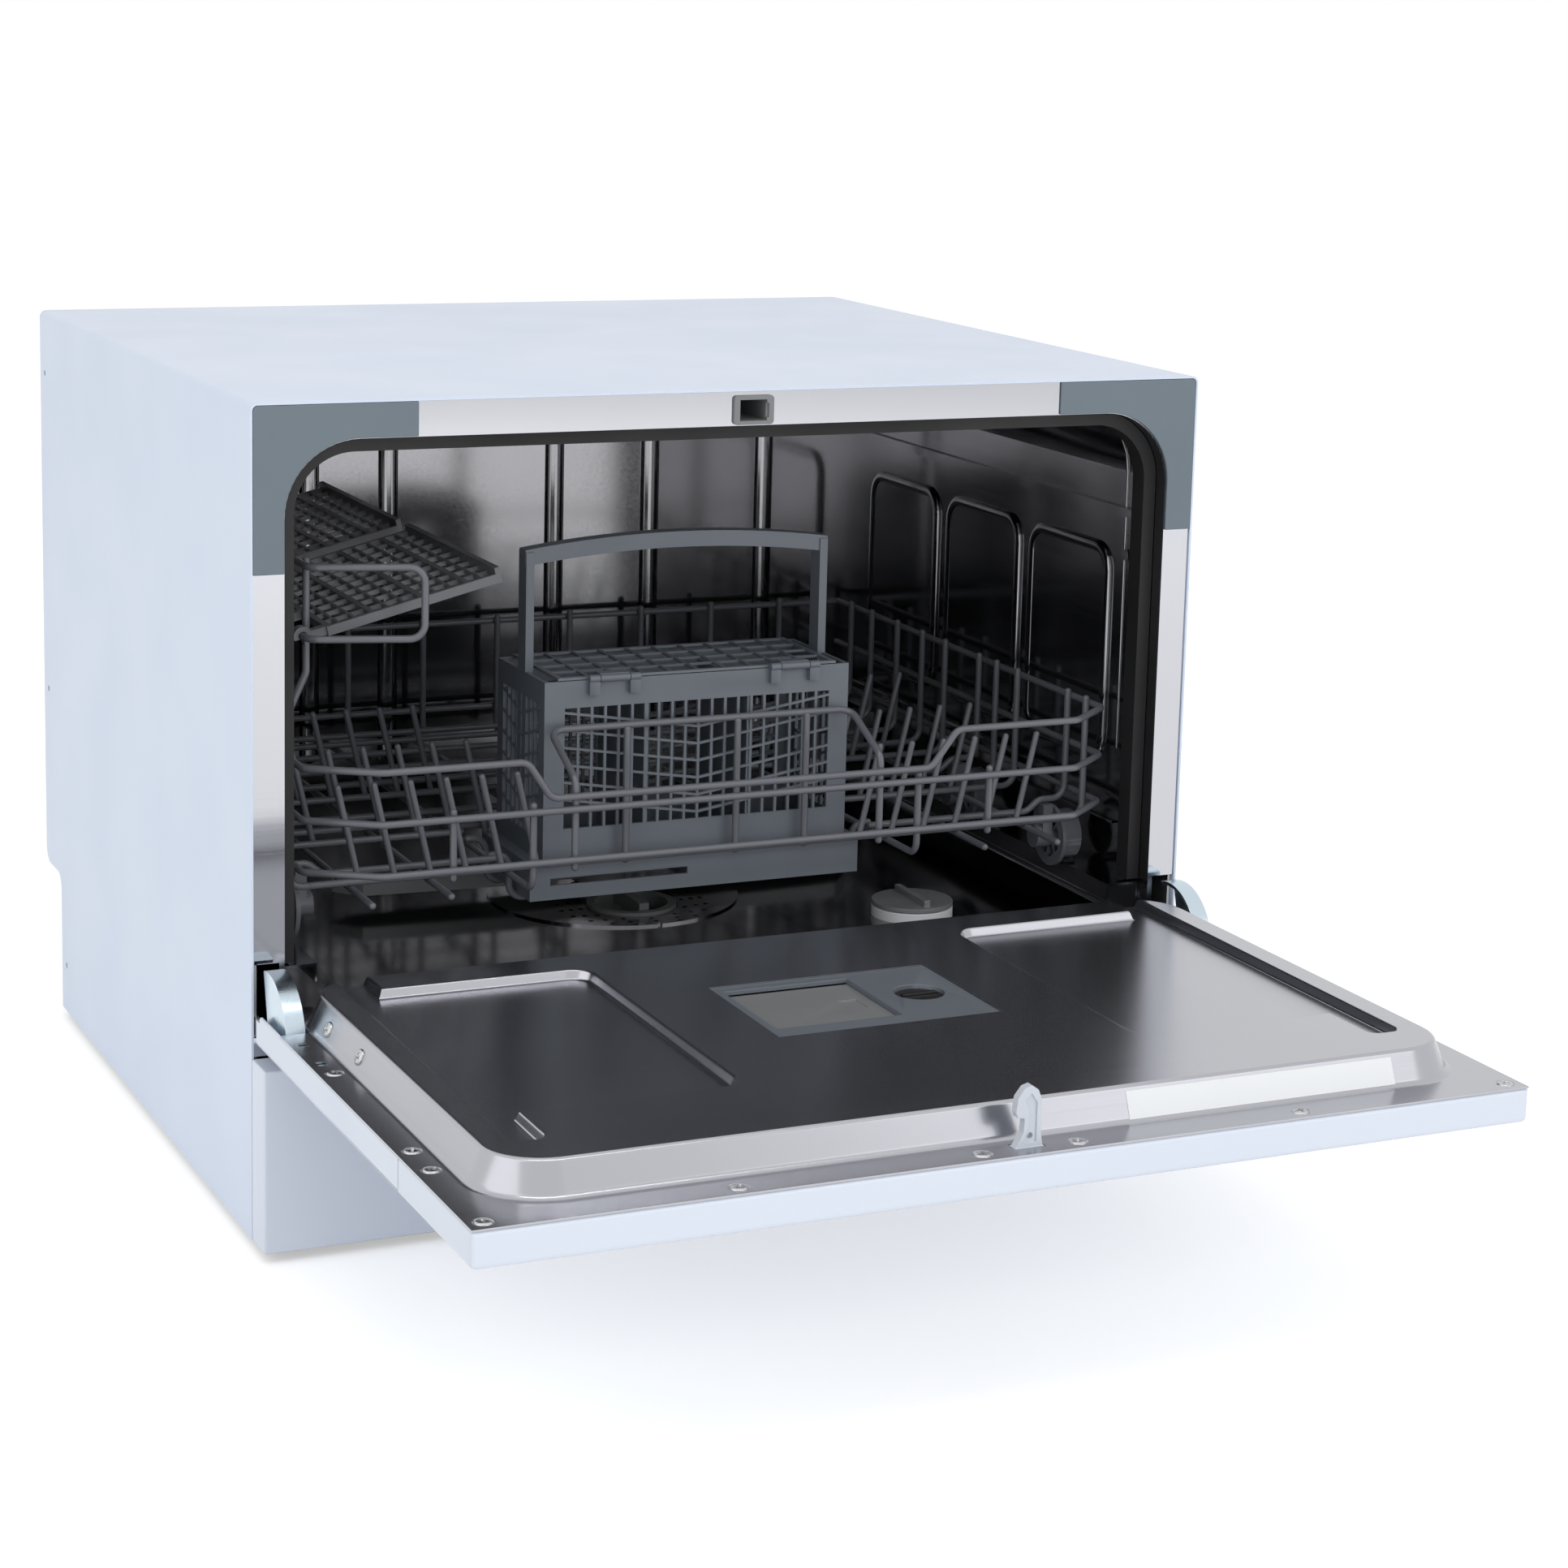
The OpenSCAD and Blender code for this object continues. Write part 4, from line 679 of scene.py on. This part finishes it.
def inside_tray(x, y):
    """Whether the sheet is there: not past its outline or in one of its openings."""
    x_abs = abs(x)
    if x_abs > SHEET_X or y < SHEET_FRONT or y > SHEET_BACK or (x_abs > EAR_X and y > EAR_Y):
        return False
    for half, low, high in (DISPENSER_HOLE, HOOK_HOLE):
        if x_abs < half and low < y < high:
            return False
    if HINGE_X[0] < x_abs < HINGE_X[1] and any(low < y < high for low, high in HINGE_YS):
        return False
    return all(math.hypot(x - cx, y - cy) > DIMPLE_RINGS[-1] - 0.05 for cx, cy in SCREWS)


def flat_triangles(loops, keep):
    """Triangles between all the loops, without those outside the sheet."""
    points, edges = [], []
    for loop in loops:
        first = len(points)
        points += [Vector(p) for p in loop]
        edges += [(first + i, first + (i + 1) % len(loop)) for i in range(len(loop))]
    points, _, faces, _, _, _ = mathutils.geometry.delaunay_2d_cdt(points, edges, [], 0, 1e-4)
    kept = []
    for face in faces:
        mid = sum((points[i] for i in face), Vector((0.0, 0.0))) / len(face)
        if keep(mid.x, mid.y):
            kept.append(list(face))
    return points, kept


def sheet_shell(name, points, faces, thickness, mat):
    """A closed pressed sheet: the upper skin, the same skin offset below, and the cut edges."""
    mesh = bmesh.new()
    verts = [mesh.verts.new(at(*p)) for p in points]
    for face in faces:
        mesh.faces.new([verts[i] for i in face])
    bmesh.ops.delete(mesh, geom=[v for v in mesh.verts if not v.link_faces], context="VERTS")
    mesh.normal_update()
    for face in mesh.faces:
        if face.normal.z < 0:
            face.normal_flip()
    mesh.normal_update()
    upper = list(mesh.faces)
    rim = [e for e in mesh.edges if len(e.link_faces) == 1]
    under = {v: mesh.verts.new(v.co - v.normal * thickness / 1000.0) for v in list(mesh.verts)}
    for face in upper:
        mesh.faces.new([under[v] for v in reversed(face.verts)])
    for edge in rim:
        face = edge.link_faces[0]
        a, b = edge.verts
        order = list(face.verts)
        if order[(order.index(a) + 1) % len(order)] is not b:
            a, b = b, a
        mesh.faces.new([b, a, under[a], under[b]])
    return finish_bmesh(name, mesh, mat, sharp=40.0)


def even_normals(obj):
    """Large flat faces decide the shading, so soft edges stay narrow."""
    obj.modifiers.new("even", "WEIGHTED_NORMAL").keep_sharp = True
    obj.data = plain_mesh(obj)


def make_tray():
    half = [(SHEET_X, SHEET_FRONT), (SHEET_X, EAR_Y), (EAR_X, EAR_Y), (EAR_X, SHEET_BACK)]
    loops = [[(-SHEET_X, SHEET_FRONT)] + half + [(-x, y) for x, y in reversed(half[1:])]]
    x0, y0, x1, y1, r = PLATEAU
    for d, _ in STEP_UP:
        loops.append(rounded_loop(x0 + d, y0 + d, x1 - d, y1 - d, r - d, 10))
    for s in (-1, 1):
        for d, _ in PAN_EDGE:
            loops.append(pan_loop(s, d - PAN_OUT))
    for x, low, high in (DISPENSER_HOLE, HOOK_HOLE):
        loops.append([(-x, low), (x, low), (x, high), (-x, high)])
    inner, outer = HINGE_X
    for s in (-1, 1):
        for low, high in HINGE_YS:
            loops.append([(s * inner, low), (s * outer, low),
                          (s * outer, high), (s * inner, high)])
    for cx, cy in SCREWS:
        for radius in DIMPLE_RINGS:
            loops.append(round_loop(cx, cy, radius, 28))
    flat, faces = flat_triangles(loops, inside_tray)
    points = [(p.x, p.y, tray_height(p.x, p.y)) for p in flat]
    liner = sheet_shell("pressed_liner", points, faces, 1.0, TRAY)
    even_normals(liner)
    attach(liner, "door")
    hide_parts("inner_tray")


make_tray()


# Pan-head screws, set out by a Geometry Nodes tree
def make_fastener_tree():
    tree = bpy.data.node_groups.new("set_fasteners", "GeometryNodeTree")
    tree.interface.new_socket("Places", in_out="INPUT", socket_type="NodeSocketGeometry")
    tree.interface.new_socket("Fasteners", in_out="OUTPUT", socket_type="NodeSocketGeometry")
    tree.interface.new_socket("Fastener", in_out="INPUT", socket_type="NodeSocketObject")
    scale = tree.interface.new_socket("Scale", in_out="INPUT", socket_type="NodeSocketFloat")
    scale.default_value = 1.0
    tree.interface.new_socket("Finish", in_out="INPUT", socket_type="NodeSocketMaterial")
    nodes, links = tree.nodes, tree.links
    inp, out = nodes.new("NodeGroupInput"), nodes.new("NodeGroupOutput")
    shape = nodes.new("GeometryNodeObjectInfo")
    turn = nodes.new("GeometryNodeInputNamedAttribute")
    turn.data_type = "FLOAT_VECTOR"
    turn.inputs["Name"].default_value = "turn"
    to_turn = nodes.new("FunctionNodeEulerToRotation")
    to_points = nodes.new("GeometryNodeMeshToPoints")
    place = nodes.new("GeometryNodeInstanceOnPoints")
    real = nodes.new("GeometryNodeRealizeInstances")
    paint = nodes.new("GeometryNodeSetMaterial")
    links.new(inp.outputs["Places"], to_points.inputs["Mesh"])
    links.new(inp.outputs["Fastener"], shape.inputs["Object"])
    links.new(turn.outputs["Attribute"], to_turn.inputs[0])
    links.new(to_points.outputs["Points"], place.inputs["Points"])
    links.new(shape.outputs["Geometry"], place.inputs["Instance"])
    links.new(to_turn.outputs[0], place.inputs["Rotation"])
    links.new(inp.outputs["Scale"], place.inputs["Scale"])
    links.new(place.outputs["Instances"], real.inputs[0])
    links.new(real.outputs[0], paint.inputs["Geometry"])
    links.new(inp.outputs["Finish"], paint.inputs["Material"])
    links.new(paint.outputs[0], out.inputs[0])
    return tree


FASTENER_TREE = make_fastener_tree()


def cross_outline(reach, half):
    """The outline of a cross with four equal arms."""
    quarter = [(half, -reach), (half, -half), (reach, -half)]
    loop = []
    for k in range(4):
        a = math.radians(90 * k)
        cos, sin = math.cos(a), math.sin(a)
        loop += [(x * cos - y * sin, x * sin + y * cos) for x, y in quarter]
    return loop


def pan_head(name, radius, rise, skirt):
    """Domed screw head with a cross recess, its seat at height 0 and its skirt below it."""
    reach, half = 0.46 * radius, 0.09 * radius
    arms = cross_outline(0.6 * radius, 0.16 * radius)
    pit = cross_outline(reach, half)
    rings = [round_loop(0, 0, radius * f, 20) for f in (1.0, 0.94, 0.82, 0.66)]
    flat, faces = flat_triangles(rings + [arms, pit], lambda x, y: True)

    def height(x, y):
        d = math.hypot(x, y) / radius
        least, most = sorted((abs(x), abs(y)))
        low = most <= reach + 0.001 * radius and least <= half + 0.001 * radius
        dome = rise * (1.0 - 0.35 * d * d) * min(1.0, max(0.0, (1.0 - d) / 0.12)) ** 0.45
        return dome - (0.34 * radius if low else 0.0)

    mesh = bmesh.new()
    verts = [mesh.verts.new((p.x / 1000, p.y / 1000, height(p.x, p.y) / 1000)) for p in flat]
    for face in faces:
        mesh.faces.new([verts[i] for i in face])
    mesh.normal_update()
    for face in mesh.faces:
        if face.normal.z < 0:
            face.normal_flip()
    rim = [e for e in mesh.edges if len(e.link_faces) == 1]
    grown = bmesh.ops.extrude_edge_only(mesh, edges=rim)["geom"]
    low = [g for g in grown if isinstance(g, bmesh.types.BMVert)]
    for v in low:
        v.co.z = -skirt / 1000
        v.co.x, v.co.y = v.co.x * 0.9, v.co.y * 0.9
    bmesh.ops.contextual_create(mesh, geom=low)
    bmesh.ops.recalc_face_normals(mesh, faces=mesh.faces)
    return finish_bmesh(name, mesh, SCREW, sharp=50.0)


def set_fasteners(name, head, places, mat, scale=1.0):
    """One mesh of fasteners, each place a point in millimetres and a turn in degrees."""
    mesh = bpy.data.meshes.new(name + "_places")
    mesh.from_pydata([tuple(at(*point)) for point, _ in places], [], [])
    turns = mesh.attributes.new("turn", "FLOAT_VECTOR", "POINT")
    for i, (_, turn) in enumerate(places):
        turns.data[i].vector = [math.radians(a) for a in turn]
    obj = bpy.data.objects.new(name, mesh)
    SCENE.collection.objects.link(obj)
    mod = obj.modifiers.new("set", "NODES")
    mod.node_group = FASTENER_TREE
    mod[socket_id(FASTENER_TREE, "Fastener")] = head
    mod[socket_id(FASTENER_TREE, "Scale")] = scale
    mod[socket_id(FASTENER_TREE, "Finish")] = mat
    obj.data = plain_mesh(obj)
    return obj


def make_screws():
    """One screw in each dimple of the flange, and two on each side slope of the plateau."""
    head = pan_head("pan_head", 4.2, 1.45, 0.3)
    places = [((x, y, FLANGE_Z - DIMPLE_DEEP), (0, 0, 17 + 53 * i))
              for i, (x, y) in enumerate(SCREWS)]
    for s in (-1, 1):
        for y, z in ((-69.0, 132.0), (-119.0, 133.0)):
            x = PLATEAU[2] - STEP_RUN * (z - FLANGE_Z) / (PLATEAU_Z - FLANGE_Z)
            places.append(((s * (x + 0.1), y, z), (0, s * 67, 0)))
    screws = set_fasteners("door_screw_heads", head, places, SCREW)
    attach(screws, "door")
    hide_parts("door_screws")
    bpy.data.objects.remove(head)


make_screws()


# Painted and moulded parts with their edges eased
BODIES = frame["record"]["behaviour"]["bodies"]
BODY_OF = {node: body for body, held in BODIES.items() for node in held}
RIM_SHARE = 0.45


def near(a, b):
    return abs(a - b) < 0.05


def door_rim(a, b):
    """How far an edge of the white door shell is rounded, as a share of the widest rounding."""
    on_side = [near(abs(p.x), DOOR_X) for p in (a, b)]
    on_end = [near(p.y, DOOR_END) for p in (a, b)]
    if not all(side or end for side, end in zip(on_side, on_end)):
        return 0.0
    across, along = abs(a.x - b.x) > 1, abs(a.y - b.y) > 1
    if all(on_side + on_end) or all(near(p.z, DOOR_LOW) for p in (a, b)):
        return 0.0 if across and along else 1.0
    if all(near(p.z, FLANGE_Z - 1.0) for p in (a, b)):
        return RIM_SHARE if across or along else 0.0
    return 0.0


def eased(node, width, segments=2, angle=32.0, clamp=True, share=None):
    """A copy of the node's solid with its sharp edges rounded off, the flats kept flat."""
    source = NODES[node]
    mesh = bmesh.new()
    mesh.from_mesh(source.data)
    bmesh.ops.remove_doubles(mesh, verts=mesh.verts, dist=2e-6)
    bmesh.ops.dissolve_limit(mesh, angle_limit=math.radians(0.6),
                             verts=mesh.verts, edges=mesh.edges)
    if share:
        weight = mesh.edges.layers.float.new("bevel_weight_edge")
        for edge in mesh.edges:
            ends = [v.co * 1000.0 + Vector((0.0, MID_Y, -FOOT)) for v in edge.verts]
            edge[weight] = share(*ends)
    obj = finish_bmesh(node + "_eased", mesh, source.material_slots[0].material, sharp=angle)
    bevel = obj.modifiers.new("ease", "BEVEL")
    bevel.width = width / 1000.0
    bevel.segments = segments
    bevel.limit_method = "WEIGHT" if share else "ANGLE"
    bevel.angle_limit = math.radians(angle)
    bevel.use_clamp_overlap = clamp
    bevel.harden_normals = True
    obj.data = plain_mesh(obj)
    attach(obj, BODY_OF[node])
    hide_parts(node)


# The width in millimetres by which each part's edges are eased
EASE = {
    "kick_panel": 1.5, "outer_casing": 0.9, "corner_trim_left": 0.5, "corner_trim_right": 0.5,
    "door_lock": 0.4, "latch_hook": 0.6, "hinge_arm_left": 0.5, "hinge_arm_right": 0.5,
    "cutlery_basket": 0.35, "basket_lid": 0.35, "cup_shelf_front": 0.4, "cup_shelf_rear": 0.4,
    "tine_comb": 0.5, "rear_panel": 0.5, "base_tray": 0.8, "feet": 0.8, "dispenser_body": 0.5,
    "dispenser_lid": 0.5, "rinse_cap": 0.4, "button_power": 0.4, "button_program": 0.4,
    "button_start": 0.4, "wheel_front_left": 0.35, "wheel_mid_left": 0.35, "wheel_rear_left": 0.35,
    "wheel_front_right": 0.35, "wheel_mid_right": 0.35, "wheel_rear_right": 0.35,
    "axle_clips": 0.4, "spray_arm": 0.5, "softener": 0.6, "salt_cap": 0.5,
}

for node in ("door_panel", "control_fascia"):
    eased(node, 2.4, segments=4, clamp=False, share=door_rim)
for node, width in EASE.items():
    eased(node, width)


# The tub's pressings: rims round its side panels, ribs at the back, seams behind the seal
TUB_X, TUB_TOP, TUB_BACK, TUB_R = 257.0, 418.3, 415.0, 40.0
PANEL_YS = (60.0, 170.0, 280.0)
PANEL_LONG, PANEL_LOW, PANEL_HIGH, PANEL_R = 92.0, 205.0, 330.0, 14.0
PANEL_IN = 0.9
RIB_XS, RIB_LOW, RIB_HIGH = (-120.0, -68.0, 45.0, 112.0, 194.0), 156.0, TUB_TOP - 28
SEAM_YS, SEAM_LOW = (31.0, 43.0), 215.0


def flattened(obj, axis, plane, share):
    """Press round beads flat toward the wall that they stand on."""
    for vert in obj.data.vertices:
        off = abs(vert.co[axis]) - plane
        vert.co[axis] = math.copysign(plane + off * share, vert.co[axis])
    return obj


def on_tub(obj):
    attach(obj, BODY_OF["tub"])


def make_pressings():
    wall_x, wall_y = TUB_X - PANEL_IN, at(0, TUB_BACK, 0).y
    rims = []
    for x in (-wall_x, wall_x):
        for y0 in PANEL_YS:
            y1, mid = y0 + PANEL_LONG, y0 + PANEL_LONG / 2
            turns = ((mid, PANEL_LOW), (y1, PANEL_LOW), (y1, PANEL_HIGH),
                     (y0, PANEL_HIGH), (y0, PANEL_LOW), (mid, PANEL_LOW))
            rims.append([(x, y, z) for y, z in turns])
    beads = swept("tub_panel_rims", rims, TUB_STEEL, diameter=7.0, bend=PANEL_R)
    on_tub(flattened(beads, 0, wall_x / 1000.0, 0.55))
    ribs = [line_z(x, TUB_BACK, RIB_LOW, RIB_HIGH) for x in RIB_XS]
    beads = swept("tub_back_ribs", ribs, TUB_STEEL, diameter=13.0, bend=0.0, sides=24)
    on_tub(flattened(beads, 1, wall_y, 0.6))
    seams = [line_z(-TUB_X, y, SEAM_LOW, TUB_TOP) + line_z(TUB_X, y, TUB_TOP, SEAM_LOW)
             for y in SEAM_YS]
    on_tub(swept("tub_seams", seams, TUB_STEEL, diameter=1.8, bend=TUB_R))


make_pressings()


# Studio: pale floor, white world and soft lamps
WORLD_LIGHT, WORLD_SEEN = 0.66, 1.0
FLOOR_TONE, FLOOR_GLOW, FLOOR_REACH = 0.9, 0.42, 6.0


def seen_rays(nodes, links, lit, seen):
    """A strength for light that falls on things, and another for what is looked at or mirrored."""
    path = nodes.new("ShaderNodeLightPath")
    first, second = nodes.new("ShaderNodeMath"), nodes.new("ShaderNodeMath")
    first.operation = second.operation = "MAXIMUM"
    strength = nodes.new("ShaderNodeMapRange")
    strength.inputs["To Min"].default_value = lit
    strength.inputs["To Max"].default_value = seen
    links.new(path.outputs["Is Camera Ray"], first.inputs[0])
    links.new(path.outputs["Is Glossy Ray"], first.inputs[1])
    links.new(first.outputs[0], second.inputs[0])
    links.new(path.outputs["Is Transmission Ray"], second.inputs[1])
    links.new(second.outputs[0], strength.inputs["Value"])
    return strength.outputs["Result"]


def add_floor():
    mesh = bpy.data.meshes.new("studio_floor")
    r = FLOOR_REACH
    mesh.from_pydata([(-r, -r, 0), (r, -r, 0), (r, r, 0), (-r, r, 0)], [], [(0, 1, 2, 3)])
    floor = bpy.data.objects.new("studio_floor", mesh)
    SCENE.collection.objects.link(floor)
    mat, nodes, links, shader = new_material("studio_floor")
    shader.inputs["Base Color"].default_value = (FLOOR_TONE, FLOOR_TONE, FLOOR_TONE, 1.0)
    shader.inputs["Roughness"].default_value = 0.9
    shader.inputs["Specular IOR Level"].default_value = 0.1
    shader.inputs["Emission Color"].default_value = (1.0, 1.0, 1.0, 1.0)
    links.new(seen_rays(nodes, links, 0.0, FLOOR_GLOW), shader.inputs["Emission Strength"])
    mesh.materials.append(mat)


def add_lamp(name, place, aim, size, power, mirrored=False):
    """A soft rectangular lamp; shiny surfaces show it only where it is mirrored."""
    lamp = bpy.data.lights.new(name, "AREA")
    lamp.shape = "RECTANGLE"
    lamp.size, lamp.size_y = size
    lamp.energy = power
    obj = bpy.data.objects.new(name, lamp)
    obj.location = place
    obj.rotation_euler = (Vector(aim) - Vector(place)).to_track_quat("-Z", "Y").to_euler()
    obj.visible_glossy = mirrored
    SCENE.collection.objects.link(obj)


def add_world():
    world = bpy.data.worlds.new("white_studio")
    SCENE.world = world
    world.use_nodes = True
    nodes, links = world.node_tree.nodes, world.node_tree.links
    back = nodes["Background"]
    links.new(seen_rays(nodes, links, WORLD_LIGHT, WORLD_SEEN), back.inputs["Strength"])
    back.inputs["Color"].default_value = (1.0, 1.0, 1.0, 1.0)


add_floor()
add_world()
add_lamp("side_lamp", (-2.6, -0.6, 1.5), (0, 0, 0.2), (2.6, 2.6), 13, mirrored=True)
add_lamp("right_lamp", (2.0, -3.0, 1.9), (0, 0, 0.2), (1.3, 1.3), 5, mirrored=True)
add_lamp("front_lamp", (0.4, -3.0, 1.2), (0, 0, 0.2), (3.0, 1.8), 26)
add_lamp("strip_lamp", (-0.2, -0.9, 2.1), (0, -0.2, 0.2), (1.8, 0.12), 5, mirrored=True)
